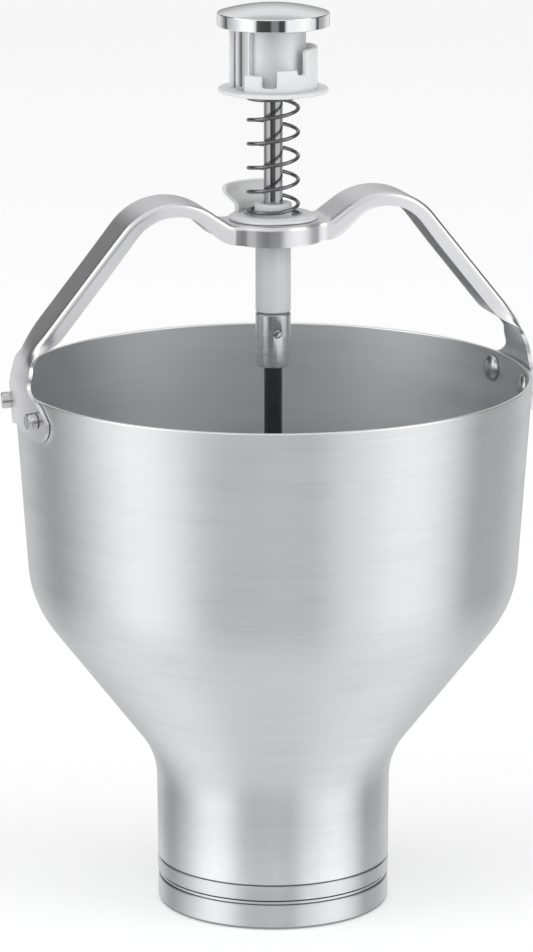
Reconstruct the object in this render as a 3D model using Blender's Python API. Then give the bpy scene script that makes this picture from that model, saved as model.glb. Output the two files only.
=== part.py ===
"""Pancake batter dispenser: a spun hopper, a pressed bridge handle and a spring-returned plunger.

Metres, +Z up. The origin is the centre of the standing face, the plunger's axis is Z, and the
handle runs along X.
"""

import math

import bmesh
import bpy
from mathutils import Matrix, Vector

# Hopper: outer surface, one wall all over
RIM_RADIUS = 0.1207
RIM_HEIGHT = 0.2530
RIM_EDGE = 0.0006
HOPPER_WALL = 0.0020
WALL_TAPER = 0.0070
SHOULDER_HEIGHT = 0.1482
SHOULDER_FILLET = 0.0500
NECK_RADIUS = 0.0550
NECK_TOP = 0.0720
NECK_FILLET = 0.0380
NECK_TAPER = 0.0003
NECK_END_HEIGHT = 0.0221

# Foot: base ring and lock ring round the metering cylinder's skirt
BASE_INSET = 0.0002
BASE_HEIGHT = 0.0119
BASE_SHOULDER_DEPTH = 0.0005
BASE_SHOULDER_HEIGHT = 0.0017
BASE_LEDGE_HEIGHT = 0.0054
BASE_LEDGE_WIDTH = 0.0070
BASE_CHAMFER = 0.0008
LOCK_RING_CHAMFER = 0.0005

# Metering cylinder
SKIRT_WALL = 0.0032
BORE_RADIUS = 0.0350
BORE_WALL = 0.0030
BORE_LENGTH = 0.0250
FUNNEL_RISE = 0.0140
FUNNEL_LIP = 0.0010

# Rubber rings
SEAL_THICKNESS = 0.0020
SEAL_HEIGHT_IN_NECK = 0.0400

# Plunger below the coupling
LOWER_ROD_RADIUS = 0.0042
ROD_END_CLEARANCE = 0.0018
ROD_END_CHAMFER = 0.0006
ROD_STUB = 0.0015
NUT_ACROSS_FLATS = 0.0130
NUT_HEIGHT = 0.0055
WASHER_RADIUS = 0.0095
WASHER_HEIGHT = 0.0013
VALVE_HEIGHT = 0.0050
PISTON_HEIGHT = 0.0060
PISTON_CHAMFER = 0.0008
SPACER_WALL = 0.0020

# Coupling sleeve and its set screw
COUPLING_RADIUS = 0.00825
COUPLING_LENGTH = 0.0253
COUPLING_CHAMFER = 0.0008
COUPLING_ROD_GAP = 0.0010
SET_SCREW_RADIUS = 0.0019
SET_SCREW_BELOW_TOP = 0.0091
SET_SCREW_ANGLE = math.radians(-91.0)
SET_SCREW_RECESS = 0.0001
SET_SCREW_SLOT_WIDTH = 0.0007
SET_SCREW_SLOT_DEPTH = 0.0009

# Upper rod, thumb cap and the cap's stem with its stop key
UPPER_ROD_RADIUS = 0.0044
CAP_RADIUS = 0.0258
CAP_SIDE_HEIGHT = 0.0062
CAP_DOME_RISE = 0.0040
CAP_EDGE = 0.0006
CAP_ROD_DEPTH = 0.0010
STEM_RADIUS = 0.0150
STEM_HEIGHT = 0.0285
KEY_THICKNESS = 0.0025
KEY_START = math.radians(-199.0)
KEY_END = math.radians(-145.0)

# Portion dial
FLANGE_RADIUS = 0.0254
FLANGE_ABOVE_SADDLE = 0.0593
FLANGE_THICKNESS = 0.0018
FLANGE_EDGE = 0.0005
CROWN_WALL = 0.0025
CROWN_CORNER = 0.0012
CROWN_START = math.radians(-148.0)
CROWN_STEP_ENDS = [math.radians(turn) for turn in (-122.5, -102.0, -73.0, -59.0, 18.0, 63.0, 103.0, 133.0, 163.0)]
CROWN_STEP_HEIGHTS = (0.0079, 0.0023, 0.0104, 0.0079, 0.0191, 0.0130, 0.0165, 0.0225, 0.0282)

# Return spring: open coils between two flattened ends
SPRING_WIRE = 0.0018
SPRING_RADIUS = 0.0115
SPRING_TURNS = 6.1
SPRING_END_TURNS = 0.75
SPRING_END_LIFT = 0.0022
SPRING_START = math.radians(-3.0)
SPRING_POINTS_PER_TURN = 10

# Guide bush
BUSH_TUBE_RADIUS = 0.0082
BUSH_TUBE_LENGTH = 0.0437
BUSH_TUBE_EDGE = 0.0006
BUSH_BOSS_RADIUS = 0.00865
BUSH_BOSS_HEIGHT = 0.0050
BUSH_PLATE_HALF_LENGTH = 0.0205
BUSH_PLATE_HALF_WIDTH = 0.0192
BUSH_PLATE_CORNER = 0.0188
BUSH_PLATE_THICKNESS = 0.0022
BUSH_SEAT_RADIUS = 0.0131
BUSH_SEAT_DEPTH = 0.0013
TAB_START = math.radians(84.0)
TAB_END = math.radians(156.0)
TAB_HEIGHT = 0.0123
TAB_WALL = 0.0020
TAB_FOOT_RADIUS = 0.0180
TAB_LIP_RADIUS = 0.0238
TAB_FLARE_START_SHARE = 0.30
TAB_FLARE_END_SHARE = 0.85

# Bush retaining ring
RETAINER_WIDTH = 0.0040
RETAINER_THICKNESS = 0.0011

# Bridge handle: outer face along the middle, heights from the rim, then the channel's section
SADDLE_ABOVE_RIM = 0.0742
SADDLE_HALF_LENGTH = 0.0234
SADDLE_FILLET = 0.0060
SADDLE_HALF_WIDTH = 0.0218
SADDLE_BLEND_POWER = 6.0
HUMP_REACH = 0.0565
HUMP_RISE = 0.0228
HUMP_FILLET_SHARE = 0.55
FOOT_ABOVE_RIM = 0.0190
FOOT_FILLET = 0.0280
SHEET = 0.0018
CHANNEL_CORNER = 0.0024
SADDLE_SKIRT = 0.0098
HUMP_SKIRT = 0.0063
LEG_SKIRT = 0.0075
SKIRT_END_ABOVE_RIM = 0.0130
SKIRT_FADE = 0.0180
HUMP_HALF_WIDTH = 0.0136
LEG_HALF_WIDTH = 0.0124
LEG_TAPER_SHARE = 0.5
STATION_STEP = 0.0120
SADDLE_STATIONS = 7
EAR_ROWS = 8
EAR_COLUMN_SHARES = (0.0, 0.30, 0.55, 0.75, 0.90, 1.0)

# Riveted ears
WAIST_ABOVE_RIM = 0.0095
WAIST_HALF_WIDTH = 0.0150
NECK_BEND_ABOVE_RIM = 0.0020
NECK_BEND_LENGTH = 0.0060
NECK_LEAN = math.radians(18.0)
RIVET_SPREAD = 0.0226
RIVET_BELOW_RIM = 0.0085
LOBE_RADIUS = 0.0105
LOBE_START = math.radians(98.0)
EAR_DIP_DEPTH = 0.0070
EAR_NECK_DEPTH = 0.0055
EAR_NECK_SHARE = 1 / 8
EAR_LOBE_SHARE = 2 / 8

# Rivets
RIVET_SHANK_RADIUS = 0.0028
RIVET_END_RADIUS = 0.00385
RIVET_END_LENGTH = 0.0040
RIVET_END_EDGE = 0.0006
RIVET_DOME_RADIUS = 0.0062
RIVET_DOME_HEIGHT = 0.0026

# Clearances
GAP = 0.0003
SLIDE_GAP = 0.0005
STOP_GAP = 0.0005
OVERRUN = 0.0020

# Fineness of the round shapes
MERGE = 0.00001
FILLET_ROOM_SHARE = 0.95
ARC_STEP = math.radians(12.0)
HOPPER_SIDES = 48
DISC_SIDES = 32
ROD_SIDES = 16
SEAL_SECTION_SIDES = 6
SMOOTH_ANGLE = math.radians(32.0)
CROWN_COLUMN = math.radians(12.0)
CROWN_ARC_STEP = math.radians(45.0)
TAB_COLUMNS = 7
TAB_ROWS = 6
KEY_COLUMNS = 6
PLATE_CORNER_STEPS = 6
RIVET_DOME_STEPS = 4
CAP_DOME_STEPS = 5
HEXAGON_SIDES = 6
CUT_TOLERANCE = 0.000001

# Sizes that follow from the ones above
SHOULDER_RADIUS = RIM_RADIUS - WALL_TAPER
NECK_END_RADIUS = NECK_RADIUS - NECK_TAPER
BASE_RADIUS = NECK_END_RADIUS - BASE_INSET
WALL_LEAN = math.atan2(WALL_TAPER, RIM_HEIGHT - SHOULDER_HEIGHT)
RIVET_HEIGHT = RIM_HEIGHT - RIVET_BELOW_RIM
EAR_DIP_HEIGHT = RIVET_HEIGHT - EAR_DIP_DEPTH
WAIST_HEIGHT = RIM_HEIGHT + WAIST_ABOVE_RIM
SKIRT_END_HEIGHT = RIM_HEIGHT + SKIRT_END_ABOVE_RIM
FOOT_HEIGHT = RIM_HEIGHT + FOOT_ABOVE_RIM
SADDLE_HEIGHT = RIM_HEIGHT + SADDLE_ABOVE_RIM
HUMP_HEIGHT = SADDLE_HEIGHT + HUMP_RISE
HUMP_FILLET = HUMP_REACH * HUMP_FILLET_SHARE
FLANGE_UNDERSIDE = SADDLE_HEIGHT + FLANGE_ABOVE_SADDLE
FLANGE_TOP = FLANGE_UNDERSIDE + FLANGE_THICKNESS
CAP_UNDERSIDE = FLANGE_TOP + STEM_HEIGHT
PLATE_UNDERSIDE = SADDLE_HEIGHT + GAP
PLATE_TOP = PLATE_UNDERSIDE + BUSH_PLATE_THICKNESS
SEAT_HEIGHT = PLATE_TOP - BUSH_SEAT_DEPTH
TAB_TOP = PLATE_TOP + TAB_HEIGHT
PLUNGER_TRAVEL = FLANGE_UNDERSIDE - TAB_TOP - STOP_GAP
BUSH_TUBE_END = PLATE_UNDERSIDE - BUSH_TUBE_LENGTH
COUPLING_TOP = BUSH_TUBE_END - STOP_GAP
COUPLING_END = COUPLING_TOP - COUPLING_LENGTH
ROD_MEETING = COUPLING_TOP - COUPLING_LENGTH / 2
ROD_END = PLUNGER_TRAVEL + ROD_END_CLEARANCE
VALVE_NUT_BASE = ROD_END + ROD_STUB
VALVE_WASHER_BASE = VALVE_NUT_BASE + NUT_HEIGHT + GAP
VALVE_BASE = VALVE_WASHER_BASE + WASHER_HEIGHT + GAP
BORE_BASE = VALVE_BASE - GAP
BORE_TOP = BORE_BASE + BORE_LENGTH
SPACER_BASE = VALVE_BASE + VALVE_HEIGHT + GAP
PISTON_BASE = BORE_BASE + PLUNGER_TRAVEL + STOP_GAP
PISTON_NUT_BASE = PISTON_BASE + PISTON_HEIGHT + GAP
LOWER_BORE = LOWER_ROD_RADIUS + GAP
UPPER_BORE = UPPER_ROD_RADIUS + GAP
CROWN_RADIUS = STEM_RADIUS + KEY_THICKNESS + GAP + CROWN_WALL

FINISHES = {
    "spun_aluminium": ((0.72, 0.73, 0.74, 1.0), 0.34, 1.0),
    "turned_aluminium": ((0.76, 0.77, 0.78, 1.0), 0.28, 1.0),
    "polished_steel": ((0.70, 0.70, 0.72, 1.0), 0.14, 1.0),
    "rivet_steel": ((0.62, 0.62, 0.63, 1.0), 0.22, 1.0),
    "chrome": ((0.80, 0.80, 0.82, 1.0), 0.06, 1.0),
    "rod_steel": ((0.45, 0.45, 0.46, 1.0), 0.18, 1.0),
    "dark_steel": ((0.10, 0.10, 0.11, 1.0), 0.30, 1.0),
    "spring_steel": ((0.22, 0.22, 0.23, 1.0), 0.24, 1.0),
    "white_nylon": ((0.86, 0.86, 0.85, 1.0), 0.42, 0.0),
    "black_rubber": ((0.03, 0.03, 0.03, 1.0), 0.60, 0.0),
}


def clear_scene():
    """Remove whatever the file holds before the model is built."""
    for item in list(bpy.data.objects):
        bpy.data.objects.remove(item, do_unlink=True)


def finish(node, name):
    """A material of the node's own, from the table of finishes."""
    colour, roughness, metallic = FINISHES[name]
    material = bpy.data.materials.new(f"{node}_{name}")
    material.use_nodes = True
    shader = material.node_tree.nodes["Principled BSDF"]
    shader.inputs["Base Color"].default_value = colour
    shader.inputs["Roughness"].default_value = roughness
    shader.inputs["Metallic"].default_value = metallic
    return material


def guide(item):
    """Mark a cutter or a piece that is only joined into another one."""
    item.hide_render = True
    item.display_type = "WIRE"
    return item


def add_empty(name, place, parent=None):
    """An empty that carries a moving group, with its origin on the joint's axis."""
    carrier = bpy.data.objects.new(name, None)
    bpy.context.collection.objects.link(carrier)
    carrier.parent = parent
    origin = parent.matrix_world.translation if parent else Vector()
    carrier.location = Vector(place) - origin
    bpy.context.view_layer.update()
    return carrier


def add_object(name, shape, look, place=(0.0, 0.0, 0.0), carrier=None):
    """Turn a bmesh drawn in world places into a named object whose origin is at place."""
    bmesh.ops.remove_doubles(shape, verts=shape.verts, dist=MERGE)
    bmesh.ops.recalc_face_normals(shape, faces=shape.faces)
    mesh = bpy.data.meshes.new(name)
    shape.to_mesh(mesh)
    shape.free()
    mesh.transform(Matrix.Translation(-Vector(place)))
    mesh.shade_smooth()
    mesh.set_sharp_from_angle(angle=SMOOTH_ANGLE)
    mesh.materials.append(finish(name, look))
    item = bpy.data.objects.new(name, mesh)
    bpy.context.collection.objects.link(item)
    item.parent = carrier
    origin = carrier.matrix_world.translation if carrier else Vector()
    item.location = Vector(place) - origin
    return item


def combine(item, other, operation):
    """Join or cut an object with a guide, by the exact solver."""
    modifier = item.modifiers.new(f"{operation.lower()}_{other.name}", "BOOLEAN")
    modifier.operation = operation
    modifier.solver = "EXACT"
    modifier.object = guide(other)


def between(start, end, share):
    """The value that lies a share of the way from start to end."""
    return start + (end - start) * share


def eased(share):
    """A share that starts and ends gently."""
    held = min(max(share, 0.0), 1.0)
    return held * held * (3.0 - 2.0 * held)


def rounded_path(corners, arc_step=ARC_STEP):
    """Points along (x, z, radius) corners, with each corner turned into an arc of its radius."""
    points = [Vector(corners[0][:2])]
    for before, corner, after in zip(corners, corners[1:], corners[2:]):
        middle = Vector(corner[:2])
        back = (Vector(before[:2]) - middle).normalized()
        ahead = (Vector(after[:2]) - middle).normalized()
        turn = math.pi - back.angle(ahead)
        if corner[2] == 0.0 or turn < MERGE:
            points.append(middle)
            continue
        room = min((Vector(end[:2]) - middle).length for end in (before, after)) * FILLET_ROOM_SHARE
        reach = min(corner[2] * math.tan(turn / 2), room)
        radius = reach / math.tan(turn / 2)
        centre = middle + (back + ahead).normalized() * (radius / math.cos(turn / 2))
        spoke = middle + back * reach - centre
        side = 1.0 if back.x * ahead.y - back.y * ahead.x < 0.0 else -1.0
        steps = max(1, math.ceil(turn / arc_step))
        for step in range(steps + 1):
            points.append(centre + Matrix.Rotation(side * turn * step / steps, 2) @ spoke)
    points.append(Vector(corners[-1][:2]))
    return points


def offset_path(points, distance):
    """The same path moved sideways, to its right, by a distance."""
    moved = []
    for index, point in enumerate(points):
        before = points[max(index - 1, 0)]
        after = points[min(index + 1, len(points) - 1)]
        sides = []
        for start, end in ((before, point), (point, after)):
            run = end - start
            if run.length > MERGE:
                sides.append(Vector((run.y, -run.x)).normalized())
        average = (sides[0] + sides[-1]).normalized()
        moved.append(point + average * (distance / average.dot(sides[0])))
    return moved


def turned_shape(outline, sides):
    """A body of revolution about Z from (radius, height) points, closed on itself or on the axis."""
    shape = bmesh.new()
    ring = [shape.verts.new((radius, 0.0, height)) for radius, height in outline]
    pairs = list(zip(ring, ring[1:]))
    if outline[0][0] > 0.0:
        pairs.append((ring[-1], ring[0]))
    edges = [shape.edges.new(pair) for pair in pairs]
    bmesh.ops.spin(
        shape, geom=ring + edges, axis=(0, 0, 1), cent=(0, 0, 0), angle=math.tau, steps=sides, use_merge=True
    )
    return shape


def turned(name, outline, sides, look, carrier=None):
    """A turned object whose origin is on the axis at its lowest height."""
    base = min(height for radius, height in outline)
    return add_object(name, turned_shape(outline, sides), look, (0.0, 0.0, base), carrier)


def tube(name, inner, outer, base, top, look, carrier=None, chamfer=0.0, sides=DISC_SIDES):
    """A plain tube, or a washer, with its outer edges chamfered."""
    low = [(outer - chamfer, base), (outer, base + chamfer)]
    high = [(outer, top - chamfer), (outer - chamfer, top)]
    if chamfer == 0.0:
        low, high = low[:1], high[:1]
    return turned(name, [(inner, base)] + low + high + [(inner, top)], sides, look, carrier)


def hexagon_nut(name, base, carrier):
    """A hexagon nut round the lower rod."""
    shape = bmesh.new()
    corner = NUT_ACROSS_FLATS / 2 / math.cos(math.pi / HEXAGON_SIDES)
    rings = []
    for height in (base, base + NUT_HEIGHT):
        for radius, sides in ((corner, HEXAGON_SIDES), (LOWER_BORE, ROD_SIDES)):
            turns = [math.tau * side / sides for side in range(sides)]
            verts = [shape.verts.new((radius * math.cos(a), radius * math.sin(a), height)) for a in turns]
            edges = [shape.edges.new((a, b)) for a, b in zip(verts, verts[1:] + verts[:1])]
            rings.append((verts, edges))
    for outer, inner in ((rings[0], rings[1]), (rings[2], rings[3])):
        bmesh.ops.triangle_fill(shape, use_beauty=True, edges=outer[1] + inner[1])
    for low, high in ((rings[0][0], rings[2][0]), (rings[1][0], rings[3][0])):
        for index, vert in enumerate(low):
            after = (index + 1) % len(low)
            shape.faces.new((vert, low[after], high[after], high[index]))
    return add_object(name, shape, "rivet_steel", (0.0, 0.0, base), carrier)


def rod(name, radius, base, top, look, carrier):
    """A round bar along the axis with chamfered ends."""
    edge = ROD_END_CHAMFER
    outline = [
        (0.0, base), (radius - edge, base), (radius, base + edge),
        (radius, top - edge), (radius - edge, top), (0.0, top),
    ]
    return turned(name, outline, ROD_SIDES, look, carrier)


def rubber_ring(name, outer, height, carrier=None):
    """A rubber ring of round section whose outside is at the given radius."""
    half = SEAL_THICKNESS / 2
    outline = []
    for step in range(SEAL_SECTION_SIDES):
        turn = math.tau * (step + 0.5) / SEAL_SECTION_SIDES
        outline.append((outer - half + half * math.cos(turn), height + half * math.sin(turn)))
    return turned(name, outline, DISC_SIDES, "black_rubber", carrier)


def seal_groove(outer, height):
    """Outline points of a groove for a rubber ring, from its lower edge to its upper edge."""
    half = SEAL_THICKNESS / 2 + GAP
    floor = outer - SEAL_THICKNESS - GAP
    return [(outer, height - half), (floor, height - half), (floor, height + half), (outer, height + half)]


def hopper_outer_path():
    """Outer surface of the hopper, from the rim down to the end of the neck."""
    return rounded_path([
        (RIM_RADIUS, RIM_HEIGHT, 0.0),
        (SHOULDER_RADIUS, SHOULDER_HEIGHT, SHOULDER_FILLET),
        (NECK_RADIUS, NECK_TOP, NECK_FILLET),
        (NECK_END_RADIUS, NECK_END_HEIGHT, 0.0),
    ])


def wall_radius(height):
    """Radius of the hopper's outer wall line, which goes on above the rim."""
    return RIM_RADIUS + (height - RIM_HEIGHT) * math.tan(WALL_LEAN)


def rivet_frame(side, edge):
    """Frame of a rivet: origin on the hopper's outer wall, local Z straight out of the wall."""
    radius = wall_radius(RIVET_HEIGHT)
    turn = math.asin(RIVET_SPREAD / radius) * edge
    heading = turn if side > 0 else math.pi - turn
    place = Vector((radius * math.cos(heading), radius * math.sin(heading), RIVET_HEIGHT))
    outward = Matrix.Rotation(heading, 4, "Z") @ Matrix.Rotation(math.pi / 2 + WALL_LEAN, 4, "Y")
    return Matrix.Translation(place) @ outward


def rivet_hole(name, frame):
    """A cutter for the rivet's hole through the hopper's wall and the ear."""
    reach = HOPPER_WALL + SHEET + OVERRUN
    shape = turned_shape(
        [(0.0, -reach), (RIVET_SHANK_RADIUS + GAP, -reach), (RIVET_SHANK_RADIUS + GAP, reach), (0.0, reach)],
        ROD_SIDES,
    )
    shape.transform(frame)
    return add_object(name, shape, "rivet_steel")


def make_hopper():
    """The spun bowl with its cone and neck, and the four rivet holes."""
    outer = hopper_outer_path()
    inner = offset_path(outer, HOPPER_WALL)
    rim_outer = [Vector((outer[0].x - RIM_EDGE, outer[0].y)), Vector((outer[0].x, outer[0].y - RIM_EDGE))]
    rim_inner = [Vector((inner[0].x, outer[0].y - RIM_EDGE)), Vector((inner[0].x + RIM_EDGE, outer[0].y))]
    inner[-1].y = outer[-1].y
    outline = rim_outer + outer[1:] + inner[:0:-1] + rim_inner
    hopper = turned("hopper", [tuple(point) for point in outline], HOPPER_SIDES, "spun_aluminium")
    for name, frame in rivet_frames().items():
        combine(hopper, rivet_hole(f"hopper_hole_{name}", frame), "DIFFERENCE")
    return hopper


def rivet_frames():
    """The four rivets' frames by name."""
    frames = {}
    for side_name, side in (("left", -1.0), ("right", 1.0)):
        for edge_name, edge in (("front", -1.0), ("back", 1.0)):
            frames[f"{side_name}_{edge_name}"] = rivet_frame(side, edge)
    return frames


def neck_inner_radius():
    """Radius of the neck's inside at its end."""
    return NECK_END_RADIUS - HOPPER_WALL


def make_foot():
    """The base ring that the dispenser stands on and the lock ring above it."""
    skirt = neck_inner_radius()
    shoulder = BASE_RADIUS - BASE_SHOULDER_DEPTH
    shoulder_top = BASE_HEIGHT + BASE_SHOULDER_HEIGHT
    ledge = skirt - BASE_LEDGE_WIDTH
    turned("base_ring", [
        (ledge + BASE_CHAMFER, 0.0), (BASE_RADIUS - BASE_CHAMFER, 0.0), (BASE_RADIUS, BASE_CHAMFER),
        (BASE_RADIUS, BASE_HEIGHT), (shoulder, BASE_HEIGHT), (shoulder, shoulder_top),
        (skirt, shoulder_top), (skirt, BASE_LEDGE_HEIGHT), (ledge, BASE_LEDGE_HEIGHT), (ledge, BASE_CHAMFER),
    ], HOPPER_SIDES, "turned_aluminium")
    tube("lock_ring", skirt, NECK_END_RADIUS, shoulder_top + GAP, NECK_END_HEIGHT - GAP,
         "turned_aluminium", chamfer=LOCK_RING_CHAMFER, sides=HOPPER_SIDES)


def make_outlet_cylinder():
    """The metering cylinder: skirt in the neck, funnel mouth and hanging bore tube."""
    lining = offset_path(hopper_outer_path(), HOPPER_WALL + GAP)
    lip_height = BORE_TOP + FUNNEL_RISE
    above = [point for point in lining if point.y > lip_height][-1]
    inside = [point for point in lining if point.y <= lip_height]
    share = (lip_height - inside[0].y) / (above.y - inside[0].y)
    lip = between(inside[0], above, share)
    outer = [lip] + [point for point in inside if point.y > SEAL_HEIGHT_IN_NECK + SEAL_THICKNESS]
    skirt = neck_inner_radius() - GAP
    base = BASE_LEDGE_HEIGHT + GAP
    skirt_inner = skirt - SKIRT_WALL
    tube_radius = BORE_RADIUS + BORE_WALL
    funnel = Vector((lip.x - FUNNEL_LIP - BORE_RADIUS, FUNNEL_RISE))
    drop = BORE_WALL * funnel.length / funnel.x
    slope = funnel.y / funnel.x
    outline = [(BORE_RADIUS, BORE_BASE), (tube_radius, BORE_BASE)]
    outline.append((tube_radius, BORE_TOP + BORE_WALL * slope - drop))
    outline.append((skirt_inner, BORE_TOP + (skirt_inner - BORE_RADIUS) * slope - drop))
    outline += [(skirt_inner, base), (skirt, base)]
    outline += seal_groove(skirt, SEAL_HEIGHT_IN_NECK)
    outline += [tuple(point) for point in reversed(outer)]
    outline += [(lip.x - FUNNEL_LIP, lip_height), (BORE_RADIUS, BORE_TOP)]
    turned("outlet_cylinder", outline, DISC_SIDES, "turned_aluminium")
    rubber_ring("cylinder_seal", skirt, SEAL_HEIGHT_IN_NECK)


def channel_columns(half_width, skirt, corner):
    """Half of the channel's section, from the middle out, as (across, down) places."""
    flat = half_width - corner
    slant = corner * math.sin(math.pi / 4)
    return [
        (0.0, 0.0), (flat, 0.0),
        (flat + slant, corner - slant), (half_width, corner),
        (half_width, (corner + skirt) / 2), (half_width, skirt),
    ]


def saddle_half_width(reach, outside):
    """Half width of the handle at a reach from the axis: a round platform that runs into the legs."""
    platform = math.sqrt(max(SADDLE_HALF_WIDTH ** 2 - reach ** 2, 0.0))
    power = SADDLE_BLEND_POWER
    return (platform ** power + outside ** power) ** (1.0 / power)


def channel_station(place, along, length_share):
    """One section of the handle's channel as (x, y, z) places from the middle to the front edge."""
    reach = place.x
    outside = between(HUMP_HALF_WIDTH, LEG_HALF_WIDTH, eased(length_share))
    if place.y < FOOT_HEIGHT:
        outside = between(WAIST_HALF_WIDTH, outside, (place.y - WAIST_HEIGHT) / (FOOT_HEIGHT - WAIST_HEIGHT))
    half_width = saddle_half_width(reach, outside)
    to_hump = eased((reach - SADDLE_HALF_LENGTH / 2) / (HUMP_REACH - SADDLE_HALF_LENGTH))
    skirt = between(SADDLE_SKIRT, between(HUMP_SKIRT, LEG_SKIRT, eased(length_share)), to_hump)
    fold = eased((place.y - SKIRT_END_HEIGHT) / SKIRT_FADE)
    inward = Vector((along.y, -along.x))
    wall = wall_radius(place.y)
    columns = []
    folded = channel_columns(half_width, skirt, CHANNEL_CORNER)
    for (across, down), flat_share in zip(folded, EAR_COLUMN_SHARES):
        lateral = between(half_width * flat_share, across, fold)
        curl = wall - math.sqrt(wall ** 2 - lateral ** 2)
        depth = between(curl, down, fold)
        point = place + inward * depth
        columns.append((point.x, -lateral, point.y))
    return columns


def neck_inset(height):
    """How far the ear's neck leans in from the wall's line above the rim."""
    above = max(height - RIM_HEIGHT - NECK_BEND_ABOVE_RIM, 0.0)
    bent = min(above, NECK_BEND_LENGTH)
    return (above - bent + bent ** 2 / (2 * NECK_BEND_LENGTH)) * math.tan(NECK_LEAN)


def ear_point(lateral, height):
    """A point of the ear's outer face, which follows the hopper's wall and leans in above the rim."""
    radius = wall_radius(height) + (GAP + SHEET) / math.cos(WALL_LEAN) - neck_inset(height)
    return (math.sqrt(radius ** 2 - lateral ** 2), -lateral, height)


def ear_side(share):
    """Edge of the ear from the waist (0) to the widest point of the lobe (1)."""
    start = Vector((
        RIVET_SPREAD + LOBE_RADIUS * math.cos(LOBE_START),
        RIVET_HEIGHT + LOBE_RADIUS * math.sin(LOBE_START),
    ))
    waist = Vector((WAIST_HALF_WIDTH, WAIST_HEIGHT))
    neck = Vector((WAIST_HALF_WIDTH, WAIST_HEIGHT - EAR_NECK_DEPTH))
    if share < EAR_NECK_SHARE:
        return between(waist, neck, share / EAR_NECK_SHARE)
    if share < EAR_LOBE_SHARE:
        return between(neck, start, (share - EAR_NECK_SHARE) / (EAR_LOBE_SHARE - EAR_NECK_SHARE))
    turn = between(LOBE_START, 0.0, (share - EAR_LOBE_SHARE) / (1.0 - EAR_LOBE_SHARE))
    return Vector((RIVET_SPREAD + LOBE_RADIUS * math.cos(turn), RIVET_HEIGHT + LOBE_RADIUS * math.sin(turn)))


def ear_bottom(lateral):
    """Height of the ear's lower edge: round lobes with a shallow dip between them."""
    lowest = RIVET_HEIGHT - LOBE_RADIUS
    if lateral < RIVET_SPREAD:
        return between(EAR_DIP_HEIGHT, lowest, eased(lateral / RIVET_SPREAD))
    return RIVET_HEIGHT - math.sqrt(max(LOBE_RADIUS ** 2 - (lateral - RIVET_SPREAD) ** 2, 0.0))


def ear_station(share):
    """One row of the ear between the waist (0) and its lower edge (1)."""
    edge = ear_side(share)
    middle = between(WAIST_HEIGHT, EAR_DIP_HEIGHT, share)
    columns = []
    for flat_share in EAR_COLUMN_SHARES:
        lateral = edge.x * flat_share
        level = between(middle, edge.y, flat_share ** 2)
        base_level = between(EAR_DIP_HEIGHT, RIVET_HEIGHT, flat_share ** 2)
        level += share ** 2 * (ear_bottom(lateral) - base_level)
        columns.append(ear_point(lateral, level))
    return columns


def handle_half():
    """Sections of half the handle, from the middle of the saddle to the ear's lower edge."""
    ear_top = ear_point(0.0, WAIST_HEIGHT)
    foot = ear_point(0.0, FOOT_HEIGHT)
    path = rounded_path([
        (0.0, SADDLE_HEIGHT, 0.0),
        (SADDLE_HALF_LENGTH, SADDLE_HEIGHT, SADDLE_FILLET),
        (HUMP_REACH, HUMP_HEIGHT, HUMP_FILLET),
        (foot[0], FOOT_HEIGHT, FOOT_FILLET),
        (ear_top[0], WAIST_HEIGHT, 0.0),
    ])
    places = [path[0]]
    step_size = SADDLE_HALF_LENGTH / SADDLE_STATIONS
    for start, end in zip(path, path[1:]):
        run = end - start
        limit = step_size if end.x < SADDLE_HALF_LENGTH else STATION_STEP
        steps = max(1, math.ceil(run.length / limit))
        places += [between(start, end, (step + 1) / steps) for step in range(steps)]
    stations = []
    for index, place in enumerate(places):
        before = places[max(index - 1, 0)]
        after = places[min(index + 1, len(places) - 1)]
        along = (after - before).normalized()
        length_share = (place.x - HUMP_REACH) / (foot[0] - HUMP_REACH) / LEG_TAPER_SHARE
        stations.append(channel_station(place, along, length_share))
    stations += [ear_station((row + 1) / EAR_ROWS) for row in range(EAR_ROWS)]
    return stations


def make_handle():
    """The pressed bridge: one sheet folded into a channel, with an ear at each end."""
    half = handle_half()
    left = [[(-x, y, z) for x, y, z in row] for row in reversed(half[1:])]
    shape = bmesh.new()
    rows = []
    for row in left + half:
        full = row[::-1] + [(x, -y, z) for x, y, z in row[1:]]
        rows.append([shape.verts.new(point) for point in full])
    for low, high in zip(rows, rows[1:]):
        for column in range(len(low) - 1):
            shape.faces.new((low[column], low[column + 1], high[column + 1], high[column]))
    handle = add_object("bridge_handle", shape, "polished_steel", (0.0, 0.0, SADDLE_HEIGHT))
    mesh = handle.data
    if mesh.polygons[len(mesh.polygons) // 2].normal.z < 0.0:
        mesh.flip_normals()
    skin = handle.modifiers.new("sheet", "SOLIDIFY")
    skin.thickness = SHEET
    skin.offset = -1.0
    skin.use_even_offset = True
    for name, frame in rivet_frames().items():
        combine(handle, rivet_hole(f"ear_hole_{name}", frame), "DIFFERENCE")
    low = SADDLE_HEIGHT - SHEET - OVERRUN
    high = SADDLE_HEIGHT + OVERRUN
    hole = BUSH_TUBE_RADIUS + GAP
    cutter = turned_shape([(0.0, low), (hole, low), (hole, high), (0.0, high)], DISC_SIDES)
    combine(handle, add_object("bush_hole", cutter, "polished_steel"), "DIFFERENCE")


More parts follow.
